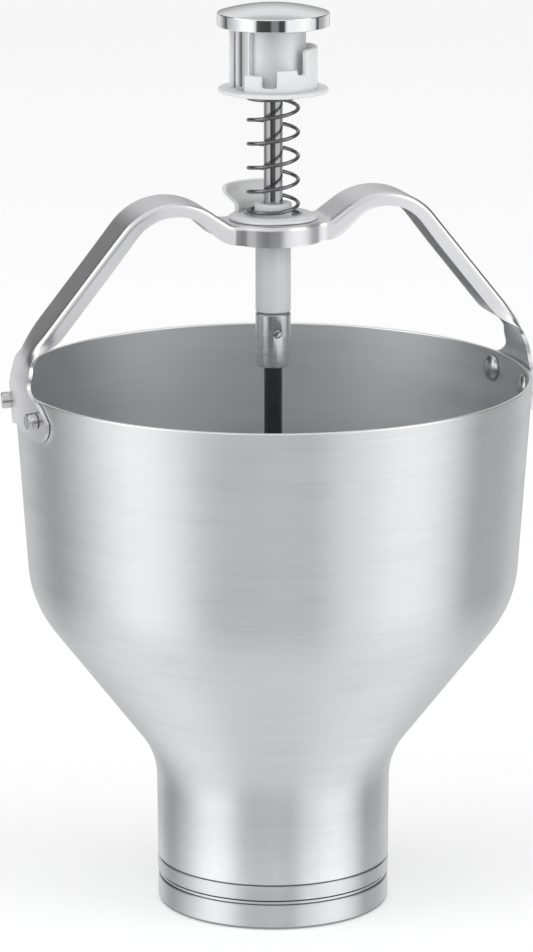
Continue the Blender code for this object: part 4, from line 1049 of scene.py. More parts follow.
def ear_shares():
    """Where the ear's columns lie across its half width, closer together round the lobe."""
    spread = bpy.context.scene.dispenser_rivets.spread
    lobe = spread / (spread + bpy.context.scene.dispenser_bridge.lobe_radius)
    shares = [EAR_FLAT_SHARE * step / FLAT_COLUMNS for step in range(FLAT_COLUMNS)]
    shares += [between(EAR_FLAT_SHARE, lobe, step / CORNER_COLUMNS) for step in range(CORNER_COLUMNS)]
    for step in range(SKIRT_COLUMNS + 1):
        shares.append(lobe + (1.0 - lobe) * math.sin(math.pi / 2 * step / SKIRT_COLUMNS))
    return shares


def channel_columns(half_width, skirt, corner):
    """Half of the channel's section, from the middle out, as (across, down) places."""
    flat = half_width - corner
    columns = [(flat * step / FLAT_COLUMNS, 0.0) for step in range(FLAT_COLUMNS)]
    for step in range(CORNER_COLUMNS):
        turn = math.pi / 2 * step / CORNER_COLUMNS
        columns.append((flat + corner * math.sin(turn), corner - corner * math.cos(turn)))
    for step in range(SKIRT_COLUMNS + 1):
        columns.append((half_width, between(corner, skirt, step / SKIRT_COLUMNS)))
    return columns


def channel_station(place, along, length_share):
    """One section of the handle's channel, from the middle to the front edge."""
    sizes = bpy.context.scene.dispenser_bridge
    rim = bpy.context.scene.dispenser_hopper.rim_height
    foot_height = rim + sizes.foot_above_rim
    waist = rim + WAIST_ABOVE_RIM
    outside = between(sizes.hump_half_width, sizes.leg_half_width, eased(length_share))
    if place.y < foot_height:
        outside = between(WAIST_HALF_WIDTH, outside, eased((place.y - waist) / (foot_height - waist)))
    platform = math.sqrt(max(sizes.saddle_half_width ** 2 - place.x ** 2, 0.0))
    power = SADDLE_BLEND_POWER
    half_width = (platform ** power + outside ** power) ** (1.0 / power)
    run = sizes.hump_reach - sizes.saddle_half_length
    to_hump = eased((place.x - sizes.saddle_half_length / 2) / run)
    outer_skirt = between(sizes.hump_skirt, sizes.leg_skirt, eased(length_share))
    skirt = between(sizes.saddle_skirt, outer_skirt, to_hump)
    fold = eased((place.y - rim - SKIRT_END_ABOVE_RIM) / SKIRT_FADE)
    inward = Vector((along.y, -along.x))
    wall = wall_radius(place.y)
    columns = []
    for (across, down), flat_share in zip(channel_columns(half_width, skirt, sizes.corner), ear_shares()):
        lateral = between(half_width * flat_share, across, fold)
        curl = wall - math.sqrt(wall ** 2 - lateral ** 2)
        point = place + inward * between(curl, down, fold)
        columns.append((point.x, -lateral, point.y))
    return columns


def neck_inset(height):
    """How far the ear's neck leans in from the wall's line above the rim."""
    above = max(height - bpy.context.scene.dispenser_hopper.rim_height - NECK_BEND_ABOVE_RIM, 0.0)
    bent = min(above, NECK_BEND_LENGTH)
    return (above - bent + bent ** 2 / (2 * NECK_BEND_LENGTH)) * math.tan(NECK_LEAN)


def ear_point(lateral, height):
    """A point of the ear's outer face, which follows the bowl's wall and leans in above the rim."""
    sheet = bpy.context.scene.dispenser_bridge.sheet
    radius = wall_radius(height) + (GAP + sheet) / math.cos(wall_lean()) - neck_inset(height)
    return (math.sqrt(radius ** 2 - lateral ** 2), -lateral, height)


def ear_edge():
    """The ear's side edge as even (across, height) points, from the waist to the lobe's widest."""
    rivets = bpy.context.scene.dispenser_rivets
    lobe = bpy.context.scene.dispenser_bridge.lobe_radius
    rim = bpy.context.scene.dispenser_hopper.rim_height
    level = rim - rivets.below_rim
    corners = [
        (WAIST_HALF_WIDTH, rim + WAIST_ABOVE_RIM, 0.0),
        (WAIST_HALF_WIDTH, level + EAR_NECK_ABOVE_RIVET, EAR_NECK_FILLET),
    ]
    for step in range(LOBE_STEPS + 1):
        turn = LOBE_START * (1.0 - step / LOBE_STEPS)
        corners.append((rivets.spread + lobe * math.cos(turn), level + lobe * math.sin(turn), 0.0))
    path = rounded_path(corners)
    lengths = [0.0]
    for start, end in zip(path, path[1:]):
        lengths.append(lengths[-1] + (end - start).length)
    places = []
    for row in range(EAR_ROWS + 1):
        wanted = lengths[-1] * row / EAR_ROWS
        index = max(i for i in range(len(path) - 1) if lengths[i] <= wanted)
        run = lengths[index + 1] - lengths[index]
        share = (wanted - lengths[index]) / run if run else 0.0
        places.append(between(path[index], path[index + 1], share))
    return places


def ear_station(edge, share):
    """One row of the ear between the waist (0) and its lower edge (1)."""
    rivets = bpy.context.scene.dispenser_rivets
    lobe = bpy.context.scene.dispenser_bridge.lobe_radius
    rim = bpy.context.scene.dispenser_hopper.rim_height
    level = rim - rivets.below_rim
    dip = level - EAR_DIP_DEPTH
    middle = between(rim + WAIST_ABOVE_RIM, dip, share)
    columns = []
    for flat_share in ear_shares():
        lateral = edge.x * flat_share
        if lateral < rivets.spread:
            bottom = between(dip, level - lobe, eased(lateral / rivets.spread))
        else:
            bottom = level - math.sqrt(max(lobe ** 2 - (lateral - rivets.spread) ** 2, 0.0))
        height = between(middle, edge.y, flat_share ** 2)
        height += share ** 2 * (bottom - between(dip, level, flat_share ** 2))
        columns.append(ear_point(lateral, height))
    return columns


def handle_half():
    """Sections of half the handle, from the middle of the saddle to the ear's lower edge."""
    sizes = bpy.context.scene.dispenser_bridge
    rim = bpy.context.scene.dispenser_hopper.rim_height
    foot = ear_point(0.0, rim + sizes.foot_above_rim)
    waist = ear_point(0.0, rim + WAIST_ABOVE_RIM)
    path = rounded_path([
        (0.0, sizes.saddle_height, 0.0),
        (sizes.saddle_half_length, sizes.saddle_height, sizes.saddle_fillet),
        (sizes.hump_reach, sizes.hump_height, sizes.hump_fillet),
        (foot[0], foot[2], sizes.foot_fillet),
        (waist[0], waist[2], 0.0),
    ], HANDLE_ARC_STEP)
    places = [path[0]]
    for start, end in zip(path, path[1:]):
        steps = max(1, math.ceil((end - start).length / STATION_STEP))
        places += [between(start, end, (step + 1) / steps) for step in range(steps)]
    stations = []
    for index, place in enumerate(places):
        before = places[max(index - 1, 0)]
        after = places[min(index + 1, len(places) - 1)]
        along = (after - before).normalized()
        length_share = (place.x - sizes.hump_reach) / (foot[0] - sizes.hump_reach) / LEG_TAPER_SHARE
        stations.append(channel_station(place, along, length_share))
    edges = ear_edge()
    return stations + [ear_station(edges[row], row / EAR_ROWS) for row in range(1, EAR_ROWS + 1)]


class BuildBridge(bpy.types.Operator):
    """Press the bridge handle from one sheet, with a riveted ear at each end"""
    bl_idname = "dispenser.bridge"
    bl_label = "Bridge handle"

    def execute(self, context):
        sizes = context.scene.dispenser_bridge
        half = handle_half()
        left = [[(-x, y, z) for x, y, z in row] for row in reversed(half[1:])]
        shape = bmesh.new()
        rows = []
        for row in left + half:
            full = row[::-1] + [(x, -y, z) for x, y, z in row[1:]]
            rows.append([shape.verts.new(point) for point in full])
        for low, high in zip(rows, rows[1:]):
            for column in range(len(low) - 1):
                shape.faces.new((low[column], low[column + 1], high[column + 1], high[column]))
        piece = new_piece("pressed_bridge", shape, "polished_bridge")
        mesh = piece.data
        if mesh.polygons[len(mesh.polygons) // 2].normal.z < 0.0:
            mesh.flip_normals()
        skin = piece.modifiers.new("sheet", "SOLIDIFY")
        skin.thickness = sizes.sheet
        skin.offset = -1.0
        skin.use_even_offset = True
        hole = context.scene.dispenser_bush.tube_radius + GAP
        low = sizes.saddle_height - sizes.sheet - OVERRUN
        high = sizes.saddle_height + OVERRUN
        drill = turned_shape([(0.0, low), (hole, low), (hole, high), (0.0, high)], ROD_SIDES)
        cutter = new_piece("bush_hole", drill)
        cut_away(piece, cutter)
        round_edges(piece, BRIDGE_EDGE)
        plain_mesh(piece)
        bpy.data.objects.remove(cutter)
        even_normals(piece)
        settle(piece, ["bridge_handle"], BOWL_BODY)
        return {"FINISHED"}


def place_round(tree, heading, radius, height):
    """A place at a heading round Z, at a radius and a height."""
    return add_node(tree, "ShaderNodeCombineXYZ", {
        0: calculate(tree, "MULTIPLY", calculate(tree, "COSINE", heading), radius),
        1: calculate(tree, "MULTIPLY", calculate(tree, "SINE", heading), radius),
        2: height,
    }).outputs[0]


def end_tree(tree, geometry, given, result):
    """End a tree in real geometry that wears its finish."""
    solid = add_node(tree, "GeometryNodeRealizeInstances", {0: geometry})
    finished = add_node(tree, "GeometryNodeSetMaterial", {
        "Geometry": solid.outputs[0], "Material": given.outputs["Finish"],
    })
    tree.links.new(finished.outputs[0], result.inputs[0])


def rivet_tree():
    """Geometry Nodes: the four rivets, each one turned square to the bowl's wall."""
    tree, given, result = new_group("Rivets round the rim", [
        ("Rivet", "NodeSocketGeometry", None), ("Wall radius", "NodeSocketFloat", 0.12),
        ("Wall lean", "NodeSocketFloat", 0.067), ("Spread", "NodeSocketFloat", 0.0226),
        ("Height", "NodeSocketFloat", 0.2445), ("Finish", "NodeSocketMaterial", None),
    ], [("Rivets", "NodeSocketGeometry")], "GeometryNodeTree")
    points = add_node(tree, "GeometryNodePoints", {"Count": 4})
    index = add_node(tree, "GeometryNodeInputIndex").outputs[0]
    right = calculate(tree, "GREATER_THAN", index, 1.5)
    edge = calculate(tree, "MULTIPLY_ADD", calculate(tree, "MODULO", index, 2.0), 2.0, -1.0)
    across = calculate(tree, "DIVIDE", given.outputs["Spread"], given.outputs["Wall radius"])
    turn = calculate(tree, "MULTIPLY", calculate(tree, "ARCSINE", across), edge)
    side = calculate(tree, "MULTIPLY_ADD", right, 2.0, -1.0)
    start = calculate(tree, "MULTIPLY", calculate(tree, "SUBTRACT", 1.0, right), math.pi)
    heading = calculate(tree, "MULTIPLY_ADD", turn, side, start)
    place = place_round(tree, heading, given.outputs["Wall radius"], given.outputs["Height"])
    tilt = calculate(tree, "ADD", given.outputs["Wall lean"], math.pi / 2)
    turned = add_node(tree, "ShaderNodeCombineXYZ", {1: tilt, 2: heading})
    moved = add_node(tree, "GeometryNodeSetPosition", {"Geometry": points.outputs[0], "Position": place})
    copies = add_node(tree, "GeometryNodeInstanceOnPoints", {
        "Points": moved.outputs[0], "Instance": given.outputs["Rivet"], "Rotation": turned.outputs[0],
    })
    end_tree(tree, copies.outputs[0], given, result)
    return tree


class BuildRivets(bpy.types.Operator):
    """Set the four rivets: a plain end outside the ear and a domed head inside the bowl"""
    bl_idname = "dispenser.rivets"
    bl_label = "Rivets"

    def execute(self, context):
        sizes = context.scene.dispenser_rivets
        hopper = context.scene.dispenser_hopper
        sheet = context.scene.dispenser_bridge.sheet
        height = hopper.rim_height - sizes.below_rim
        radius = wall_radius(height)
        inner = radius - hopper.wall
        sag = inner - math.sqrt(inner ** 2 - sizes.dome_radius ** 2)
        seat = -hopper.wall - GAP - sag
        face = GAP + sheet + GAP
        tip = face + sizes.end_length
        corners = [
            (0.0, tip, 0.0), (sizes.end_radius, tip, RIVET_EDGE), (sizes.end_radius, face, FINE_EDGE),
            (sizes.shank_radius, face, 0.0), (sizes.shank_radius, seat, 0.0), (sizes.dome_radius, seat, 0.0),
        ]
        outline = [tuple(point) for point in rounded_path(corners, EDGE_STEP / 2)]
        for step in range(1, RIVET_DOME_STEPS + 1):
            turn = math.pi / 2 * step / RIVET_DOME_STEPS
            outline.append((sizes.dome_radius * math.cos(turn), seat - sizes.dome_height * math.sin(turn)))
        outline[-1] = (0.0, outline[-1][1])
        piece = new_piece("bridge_rivets", turned_shape(outline, ROD_SIDES), "rivet_metal")
        use_tree(piece, rivet_tree(), {
            "Wall radius": radius, "Wall lean": wall_lean(), "Spread": sizes.spread,
            "Height": height, "Finish": look("rivet_metal"),
        })
        plain_mesh(piece)
        even_normals(piece)
        names = [f"rivet_{side}_{edge}" for side in ("left", "right") for edge in ("front", "back")]
        settle(piece, names, BOWL_BODY)
        return {"FINISHED"}


def plate_radius(turn, half_length, half_width, corner):
    """Distance from the axis to the edge of a plate with rounded corners."""
    centre = Vector((half_length - corner, half_width - corner))
    ray = Vector((abs(math.cos(turn)), abs(math.sin(turn))))
    along = centre.dot(ray)
    return along + math.sqrt(max(corner ** 2 - centre.length_squared + along ** 2, 0.0))


class BuildBush(bpy.types.Operator):
    """Mould the guide bush with its plate, its spring seat, its stop tab and its retaining ring"""
    bl_idname = "dispenser.bush"
    bl_label = "Guide bush"

    def execute(self, context):
        sizes = context.scene.dispenser_bush
        bridge = context.scene.dispenser_bridge
        bore = context.scene.dispenser_rods.upper_radius + GAP
        under = bridge.saddle_height + GAP
        top = under + sizes.plate_thickness
        seat = top - sizes.seat_depth
        boss_top = top + sizes.boss_height
        full = sizes.plate_half_length
        outline = softened([
            (bore, sizes.tube_end), (sizes.tube_radius, sizes.tube_end), (sizes.tube_radius, under),
            (full, under), (full, under + PLATE_SIDE), (full - PLATE_BEVEL, top),
            (sizes.seat_radius, top), (sizes.seat_radius, seat),
            (sizes.boss_radius, seat), (sizes.boss_radius, boss_top), (bore, boss_top),
        ], BUSH_EDGE)
        shape = turned_shape(outline, DISC_SIDES)
        for vert in shape.verts:
            radius = math.hypot(vert.co.x, vert.co.y)
            if radius > sizes.seat_radius + BUSH_EDGE:
                turn = math.atan2(vert.co.y, vert.co.x)
                reach = plate_radius(turn, full, sizes.plate_half_width, sizes.plate_corner)
                vert.co.x *= (radius + reach - full) / radius
                vert.co.y *= (radius + reach - full) / radius

        def tab_place(wall):
            def place(column, row):
                share = row / TAB_ROWS
                turn = between(TAB_START, TAB_END, column / TAB_COLUMNS)
                flare = (share - TAB_FLARE_START_SHARE) / (TAB_FLARE_END_SHARE - TAB_FLARE_START_SHARE)
                radius = between(TAB_FOOT_RADIUS, TAB_LIP_RADIUS, eased(flare)) - wall
                return (radius * math.cos(turn), radius * math.sin(turn), between(seat, sizes.tab_top, share))
            return place

        wall = bent_grid(TAB_COLUMNS, TAB_ROWS, tab_place(0.0), tab_place(sizes.tab_wall))
        tab = new_piece("stop_tab", wall)
        round_edges(tab, TAB_EDGE, 4)
        add_part(shape, tab)
        bush = new_piece("nylon_bush", shape, "milky_nylon")
        even_normals(bush)
        settle(bush, ["guide_bush"], BOWL_BODY)
        web = bridge.saddle_height - bridge.sheet - GAP
        hole = sizes.tube_radius + GAP
        rim, low = hole + RETAINER_WIDTH, web - RETAINER_THICKNESS
        turned_piece(
            "bush_retaining_ring", [(hole, low), (rim, low), (rim, web), (hole, web)],
            FINE_EDGE, ROD_SIDES, "spring_metal", "bush_retainer", BOWL_BODY,
        )
        return {"FINISHED"}


def spring_tree():
    """Geometry Nodes: a helix with closed ends, with a round wire swept along it."""
    tree, given, result = new_group("Return spring coil", [
        ("Turns", "NodeSocketFloat", 6.1), ("Points per turn", "NodeSocketInt", 40),
        ("Coil radius", "NodeSocketFloat", 0.0115), ("Wire radius", "NodeSocketFloat", 0.0009),
        ("Lowest", "NodeSocketFloat", 0.3296), ("Highest", "NodeSocketFloat", 0.3853),
        ("End turns", "NodeSocketFloat", 0.75), ("End lift", "NodeSocketFloat", 0.0022),
        ("Start turn", "NodeSocketFloat", 0.0), ("Finish", "NodeSocketMaterial", None),
    ], [("Spring", "NodeSocketGeometry")], "GeometryNodeTree")
    turns = given.outputs["Turns"]
    count = calculate(tree, "MULTIPLY_ADD", turns, given.outputs["Points per turn"], 1.0)
    line = add_node(tree, "GeometryNodeCurvePrimitiveLine")
    fine = add_node(tree, "GeometryNodeResampleCurve", {"Curve": line.outputs[0], "Count": count})
    share = add_node(tree, "GeometryNodeSplineParameter").outputs["Factor"]
    reached = calculate(tree, "MULTIPLY", share, turns)
    from_end = calculate(tree, "MINIMUM", reached, calculate(tree, "SUBTRACT", turns, reached))
    span = calculate(tree, "SUBTRACT", given.outputs["Highest"], given.outputs["Lowest"])
    half = calculate(tree, "MULTIPLY", span, 0.5)
    closed = remap(tree, from_end, 0.0, given.outputs["End turns"], 0.0, given.outputs["End lift"])
    middle = calculate(tree, "MULTIPLY", turns, 0.5)
    rest = calculate(tree, "SUBTRACT", half, given.outputs["End lift"])
    opened = remap(tree, from_end, given.outputs["End turns"], middle, 0.0, rest)
    lift = calculate(tree, "SUBTRACT", half, calculate(tree, "ADD", closed, opened))
    upper = calculate(tree, "GREATER_THAN", share, 0.5)
    way = calculate(tree, "MULTIPLY_ADD", upper, 2.0, -1.0)
    centre = calculate(tree, "ADD", given.outputs["Lowest"], half)
    height = calculate(tree, "MULTIPLY_ADD", lift, way, centre)
    heading = calculate(tree, "MULTIPLY_ADD", reached, math.tau, given.outputs["Start turn"])
    place = place_round(tree, heading, given.outputs["Coil radius"], height)
    coil = add_node(tree, "GeometryNodeSetPosition", {"Geometry": fine.outputs[0], "Position": place})
    section = add_node(tree, "GeometryNodeCurvePrimitiveCircle", {
        "Resolution": WIRE_SIDES, "Radius": given.outputs["Wire radius"],
    })
    wire = add_node(tree, "GeometryNodeCurveToMesh", {
        "Curve": coil.outputs[0], "Profile Curve": section.outputs[0], "Fill Caps": True,
    })
    end_tree(tree, wire.outputs[0], given, result)
    return tree


class BuildSpring(bpy.types.Operator):
    """Wind the return spring at rest; the plunger presses it flat as it goes down, but the coil built here
    keeps its rest shape
    """
    bl_idname = "dispenser.spring"
    bl_label = "Return spring"

    def execute(self, context):
        sizes = context.scene.dispenser_spring
        bush = context.scene.dispenser_bush
        dial = context.scene.dispenser_dial
        seat = context.scene.dispenser_bridge.saddle_height + GAP + bush.plate_thickness - bush.seat_depth
        piece = bpy.data.objects.new("coiled_spring", bpy.data.meshes.new("coiled_spring"))
        context.collection.objects.link(piece)
        use_tree(piece, spring_tree(), {
            "Turns": sizes.turns, "Points per turn": sizes.points_per_turn, "Coil radius": sizes.radius,
            "Wire radius": sizes.wire / 2, "Lowest": seat + GAP + sizes.wire / 2,
            "Highest": dial.underside - GAP - sizes.wire / 2, "End turns": sizes.end_turns,
            "End lift": sizes.end_lift, "Start turn": SPRING_START, "Finish": look("spring_metal"),
        })
        plain_mesh(piece)
        piece.data.shade_smooth()
        piece.data.set_sharp_from_angle(angle=SMOOTH_ANGLE)
        settle(piece, ["return_spring"], BOWL_BODY)
        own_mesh(piece)
        return {"FINISHED"}


class BuildCap(bpy.types.Operator):
    """Turn the chromed thumb cap with its satin stem and its stop key"""
    bl_idname = "dispenser.cap"
    bl_label = "Thumb cap"

    def execute(self, context):
        sizes = context.scene.dispenser_cap
        dial = context.scene.dispenser_dial
        bore = context.scene.dispenser_rods.upper_radius + GAP
        top = sizes.underside + sizes.side
        stem_base = dial.underside + dial.flange + GAP
        socket = sizes.underside + SOCKET_RISE + GAP
        corners = [
            (0.0, socket, 0.0), (bore, socket, 0.0), (bore, stem_base, 0.0),
            (sizes.stem_radius, stem_base, FINE_EDGE), (sizes.stem_radius, sizes.underside, 0.0),
            (sizes.radius, sizes.underside, sizes.edge), (sizes.radius, top, sizes.edge),
        ]
        dome = []
        for step in range(1, DOME_STEPS + 1):
            share = 1.0 - step / DOME_STEPS
            dome.append((sizes.radius * share, top + sizes.dome * (1.0 - share ** 2), 0.0))
        outline = [tuple(point) for point in rounded_path(corners + dome, EDGE_STEP / 2)]
        shape = turned_shape(outline, CAP_SIDES)
        inner = (sizes.stem_radius + bore) / 2
        heights = (stem_base, sizes.underside + sizes.edge)

        def key_place(radius):
            def place(column, row):
                turn = between(KEY_START, KEY_END, column / KEY_COLUMNS)
                return (radius * math.cos(turn), radius * math.sin(turn), heights[row])
            return place

        wall = bent_grid(KEY_COLUMNS, 1, key_place(sizes.stem_radius + sizes.key), key_place(inner))
        key = new_piece("stop_key", wall)
        round_edges(key, KEY_EDGE, 3)
        add_part(shape, key)
        piece = new_piece("chromed_cap", shape, "bright_chrome", "satin_stem", "key_metal")
        # Faces under the cap take the satin finish on the stem and, on the key, the darkened chrome that
        # paints in a dark reflection
        for face in piece.data.polygons:
            radius = math.hypot(face.center.x, face.center.y)
            if face.center.z < sizes.underside and radius < sizes.radius / 2 + sizes.key:
                face.material_index = 1 if radius < sizes.stem_radius + GAP else 2
        even_normals(piece)
        settle(piece, ["thumb_cap"], PLUNGER_BODY)
        return {"FINISHED"}


def crown_shape(radius, wall, base, flange_top):
    """The stepped crown: drawn unrolled with rounded edges, cut into columns and rolled up."""
    corners = [(CROWN_START * radius, base, 0.0)]
    start = CROWN_START
    for end, height in zip(CROWN_STEP_ENDS, CROWN_STEP_HEIGHTS):
        corners.append((start * radius, height, CROWN_CORNER))
        corners.append((end * radius, height, CROWN_CORNER))
        start = end
    corners.append((start * radius, base, 0.0))
    path = rounded_path(corners, CROWN_ARC_STEP)
    shape = bmesh.new()
    loops = []
    turns = [math.pi / 2 * step / CROWN_EDGE_STEPS for step in range(CROWN_EDGE_STEPS + 1)]
    rows = [(CROWN_EDGE * (1.0 - math.cos(turn)), CROWN_EDGE * (1.0 - math.sin(turn))) for turn in turns]
    rows += [(wall - depth, inset) for depth, inset in reversed(rows)]
    for depth, inset in rows:
        points = offset_path(path, inset)
        points[0].y = points[-1].y = base
        loops.append([shape.verts.new((point.x, depth, point.y)) for point in points])
    for near, far in zip(loops, loops[1:]):
        for index in range(len(near)):
            after = (index + 1) % len(near)
            shape.faces.new((near[index], near[after], far[after], far[index]))
    shape.faces.new(loops[0])
    shape.faces.new(loops[-1])
    turn = CROWN_START + CROWN_CUT
    while turn < CROWN_STEP_ENDS[-1]:
        bmesh.ops.bisect_plane(
            shape, geom=shape.verts[:] + shape.edges[:] + shape.faces[:], dist=MERGE / 10,
            plane_co=(turn * radius, 0.0, 0.0), plane_no=(1.0, 0.0, 0.0),
        )
        turn += CROWN_CUT
    bmesh.ops.triangulate(shape, faces=[face for face in shape.faces if len(face.verts) > 4])
    for vert in shape.verts:
        heading = vert.co.x / radius
        reach = radius - vert.co.y
        vert.co = (reach * math.cos(heading), reach * math.sin(heading), flange_top + vert.co.z)
    return shape


class BuildDial(bpy.types.Operator):
    """Mould the portion dial: a flange with a crown of steps that set the stroke"""
    bl_idname = "dispenser.dial"
    bl_label = "Portion dial"

    def execute(self, context):
        sizes = context.scene.dispenser_dial
        cap = context.scene.dispenser_cap
        bore = context.scene.dispenser_rods.upper_radius + GAP
        top = sizes.underside + sizes.flange
        low, rim = sizes.underside, sizes.flange_radius
        outline = softened([(bore, low), (rim, low), (rim, top), (bore, top)], DIAL_EDGE)
        shape = turned_shape(outline, DISC_SIDES)
        outer = cap.stem_radius + cap.key + GAP + sizes.crown_wall
        crown = crown_shape(outer, sizes.crown_wall, -sizes.flange / 2, top)
        mesh = bpy.data.meshes.new("crown")
        crown.to_mesh(mesh)
        crown.free()
        shape.from_mesh(mesh)
        bpy.data.meshes.remove(mesh)
        piece = new_piece("nylon_dial", shape, "milky_nylon")
        even_normals(piece)
        settle(piece, ["portion_dial"], DIAL_BODY)
        return {"FINISHED"}


class BuildRods(bpy.types.Operator):
    """Turn the two rods and the sleeve that joins them, with its slotted set screw"""
    bl_idname = "dispenser.rods"
    bl_label = "Rods and sleeve"

    def execute(self, context):
        sizes = context.scene.dispenser_rods
        for name, node, box, radius, finish, slot in (
            ("bright_rod", "upper_rod", UPPER_ROD_BOX, sizes.upper_radius, "rod_metal", "rod_steel"),
            ("dark_rod", "lower_rod", LOWER_ROD_BOX, sizes.lower_radius, "dark_rod_metal", "dark_steel"),
        ):
            low, high = box[0][2], box[1][2]
            turned_piece(
                name, [(0.0, low), (radius, low), (radius, high), (0.0, high)],
                ROD_EDGE, ROD_SIDES, finish, node, PLUNGER_BODY,
            )
        low, high = SLEEVE_BOX[0][2], SLEEVE_BOX[1][2]
        bore = sizes.upper_radius + GAP
        outer, cut = sizes.sleeve_radius, sizes.sleeve_chamfer
        outline = softened([
            (bore, low), (outer - cut, low), (outer, low + cut),
            (outer, high - cut), (outer - cut, high), (bore, high),
        ], SLEEVE_EDGE)
        sleeve = new_piece("joining_sleeve", turned_shape(outline, DISC_SIDES), "polished_sleeve")
        aim = Matrix.Rotation(SCREW_ANGLE, 4, "Z") @ Matrix.Rotation(math.pi / 2, 4, "Y")
        place = Matrix.Translation((0.0, 0.0, high - SCREW_BELOW_TOP)) @ aim
        hole, reach = SCREW_RADIUS + GAP, outer + OVERRUN
        drill = turned_shape([(0.0, 0.0), (hole, 0.0), (hole, reach), (0.0, reach)], ROD_SIDES)
        drill.transform(place)
        drill_piece = new_piece("screw_hole", drill)
        cut_away(sleeve, drill_piece)
        plain_mesh(sleeve)
        bpy.data.objects.remove(drill_piece)
        even_normals(sleeve)
        settle(sleeve, ["coupling_sleeve"], PLUNGER_BODY)
        tip = outer - SCREW_SINK
        screw_shape = turned_shape(softened([
            (0.0, bore), (SCREW_RADIUS, bore), (SCREW_RADIUS, tip), (0.0, tip),
        ], FINE_EDGE), ROD_SIDES)
        screw_shape.transform(place)
        screw = new_piece("slotted_screw", screw_shape, "rivet_metal")
        slot_shape = bmesh.new()
        bmesh.ops.create_cube(slot_shape, size=1.0)
        size = Matrix.Diagonal((SCREW_SLOT_WIDTH, 2 * hole, 2 * SCREW_SLOT_DEPTH, 1.0))
        slant = Matrix.Rotation(math.pi / 4, 4, "Z")
        slot_shape.transform(place @ slant @ Matrix.Translation((0.0, 0.0, tip)) @ size)
        slot_piece = new_piece("screw_slot", slot_shape)
        cut_away(screw, slot_piece)
        plain_mesh(screw)
        bpy.data.objects.remove(slot_piece)
        settle(screw, ["coupling_set_screw"], PLUNGER_BODY)
        return {"FINISHED"}


def hexagon_nut(name, node):
    """A hexagon nut with its corners turned off, in the place of its solid."""
    sizes = bpy.context.scene.dispenser_rods
    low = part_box(node)[0][2]
    high = low + sizes.nut_height
    bore = sizes.lower_radius + GAP
    half = sizes.nut_flats / 2
    corner = half / math.cos(math.pi / 6)
    drop = (corner - half) * math.tan(math.pi / 6)
    outline = [
        (bore, low), (half, low), (corner, low + drop), (corner, high - drop), (half, high), (bore, high),
    ]
    shape = turned_shape(outline, NUT_SIDES)
    for vert in shape.verts:
        radius = math.hypot(vert.co.x, vert.co.y)
        turn = math.atan2(vert.co.y, vert.co.x) % (math.pi / 3) - math.pi / 6
        flat = half / math.cos(turn)
        if radius > flat:
            vert.co.x *= flat / radius
            vert.co.y *= flat / radius
    nut = new_piece(name, shape, "rivet_metal")
    settle(nut, [node], PLUNGER_BODY)


class BuildPlungerEnd(bpy.types.Operator):
    """Turn everything clamped on the lower rod, from the nut up to the piston"""
    bl_idname = "dispenser.plunger_end"
    bl_label = "Piston and valve"

    def execute(self, context):
        sizes = context.scene.dispenser_rods
        bore = sizes.lower_radius + GAP
        radius = context.scene.dispenser_cylinder.bore_radius - SLIDE_GAP
        for name, node, ring_node in (
            ("valve_disc", "outlet_valve", "outlet_valve_seal"), ("piston_disc", "piston", "piston_seal"),
        ):
            low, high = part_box(node)[0][2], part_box(node)[1][2]
            edge = sizes.disc_edge
            outline = [(bore, low), (radius - edge, low), (radius, low + edge)]
            outline += seal_groove(radius, (low + high) / 2)
            outline += [(radius, high - edge), (radius - edge, high), (bore, high)]
            turned_piece(
                name, outline, FINE_EDGE, DISC_SIDES, "milky_nylon", node, PLUNGER_BODY,
            )
            rubber_ring(f"{name}_ring", radius, (low + high) / 2, ring_node, PLUNGER_BODY)
        for name, node, outer, finish, slot in (
            ("spacing_tube", "spacer_tube", bore + SPACER_WALL, "polished_sleeve", "polished_steel"),
            ("flat_washer", "valve_washer", WASHER_RADIUS, "rivet_metal", "rivet_steel"),
        ):
            low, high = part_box(node)[0][2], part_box(node)[1][2]
            turned_piece(
                name, [(bore, low), (outer, low), (outer, high), (bore, high)],
                FINE_EDGE, ROD_SIDES, finish, node, PLUNGER_BODY,
            )
        hexagon_nut("lower_nut", "valve_nut")
        hexagon_nut("upper_nut", "piston_nut")
        return {"FINISHED"}


def camera_ways():
    """Level directions towards the camera and to its right."""
    heading = bpy.context.scene.dispenser_stage.heading
    ahead = Vector((-math.sin(heading), -math.cos(heading), 0.0))
    return ahead, Vector((-ahead.y, ahead.x, 0.0))


def horizon_light(tree, facing, aside):
    """The light round the horizon: bright fields with dark gaps between them."""
    turn = remap(tree, calculate(tree, "ARCTAN2", aside, facing), -math.pi, math.pi)
    ramp = add_node(tree, "ShaderNodeValToRGB", {0: turn})
    elements = ramp.color_ramp.elements
    while len(elements) < len(LIGHT_BANDS):
        elements.new(0.5)
    for band, (angle, light) in zip(elements, LIGHT_BANDS):
        band.position = (angle + 180.0) / 360.0
        band.color = (*grey(light), 1.0)
    return ramp.outputs[0]


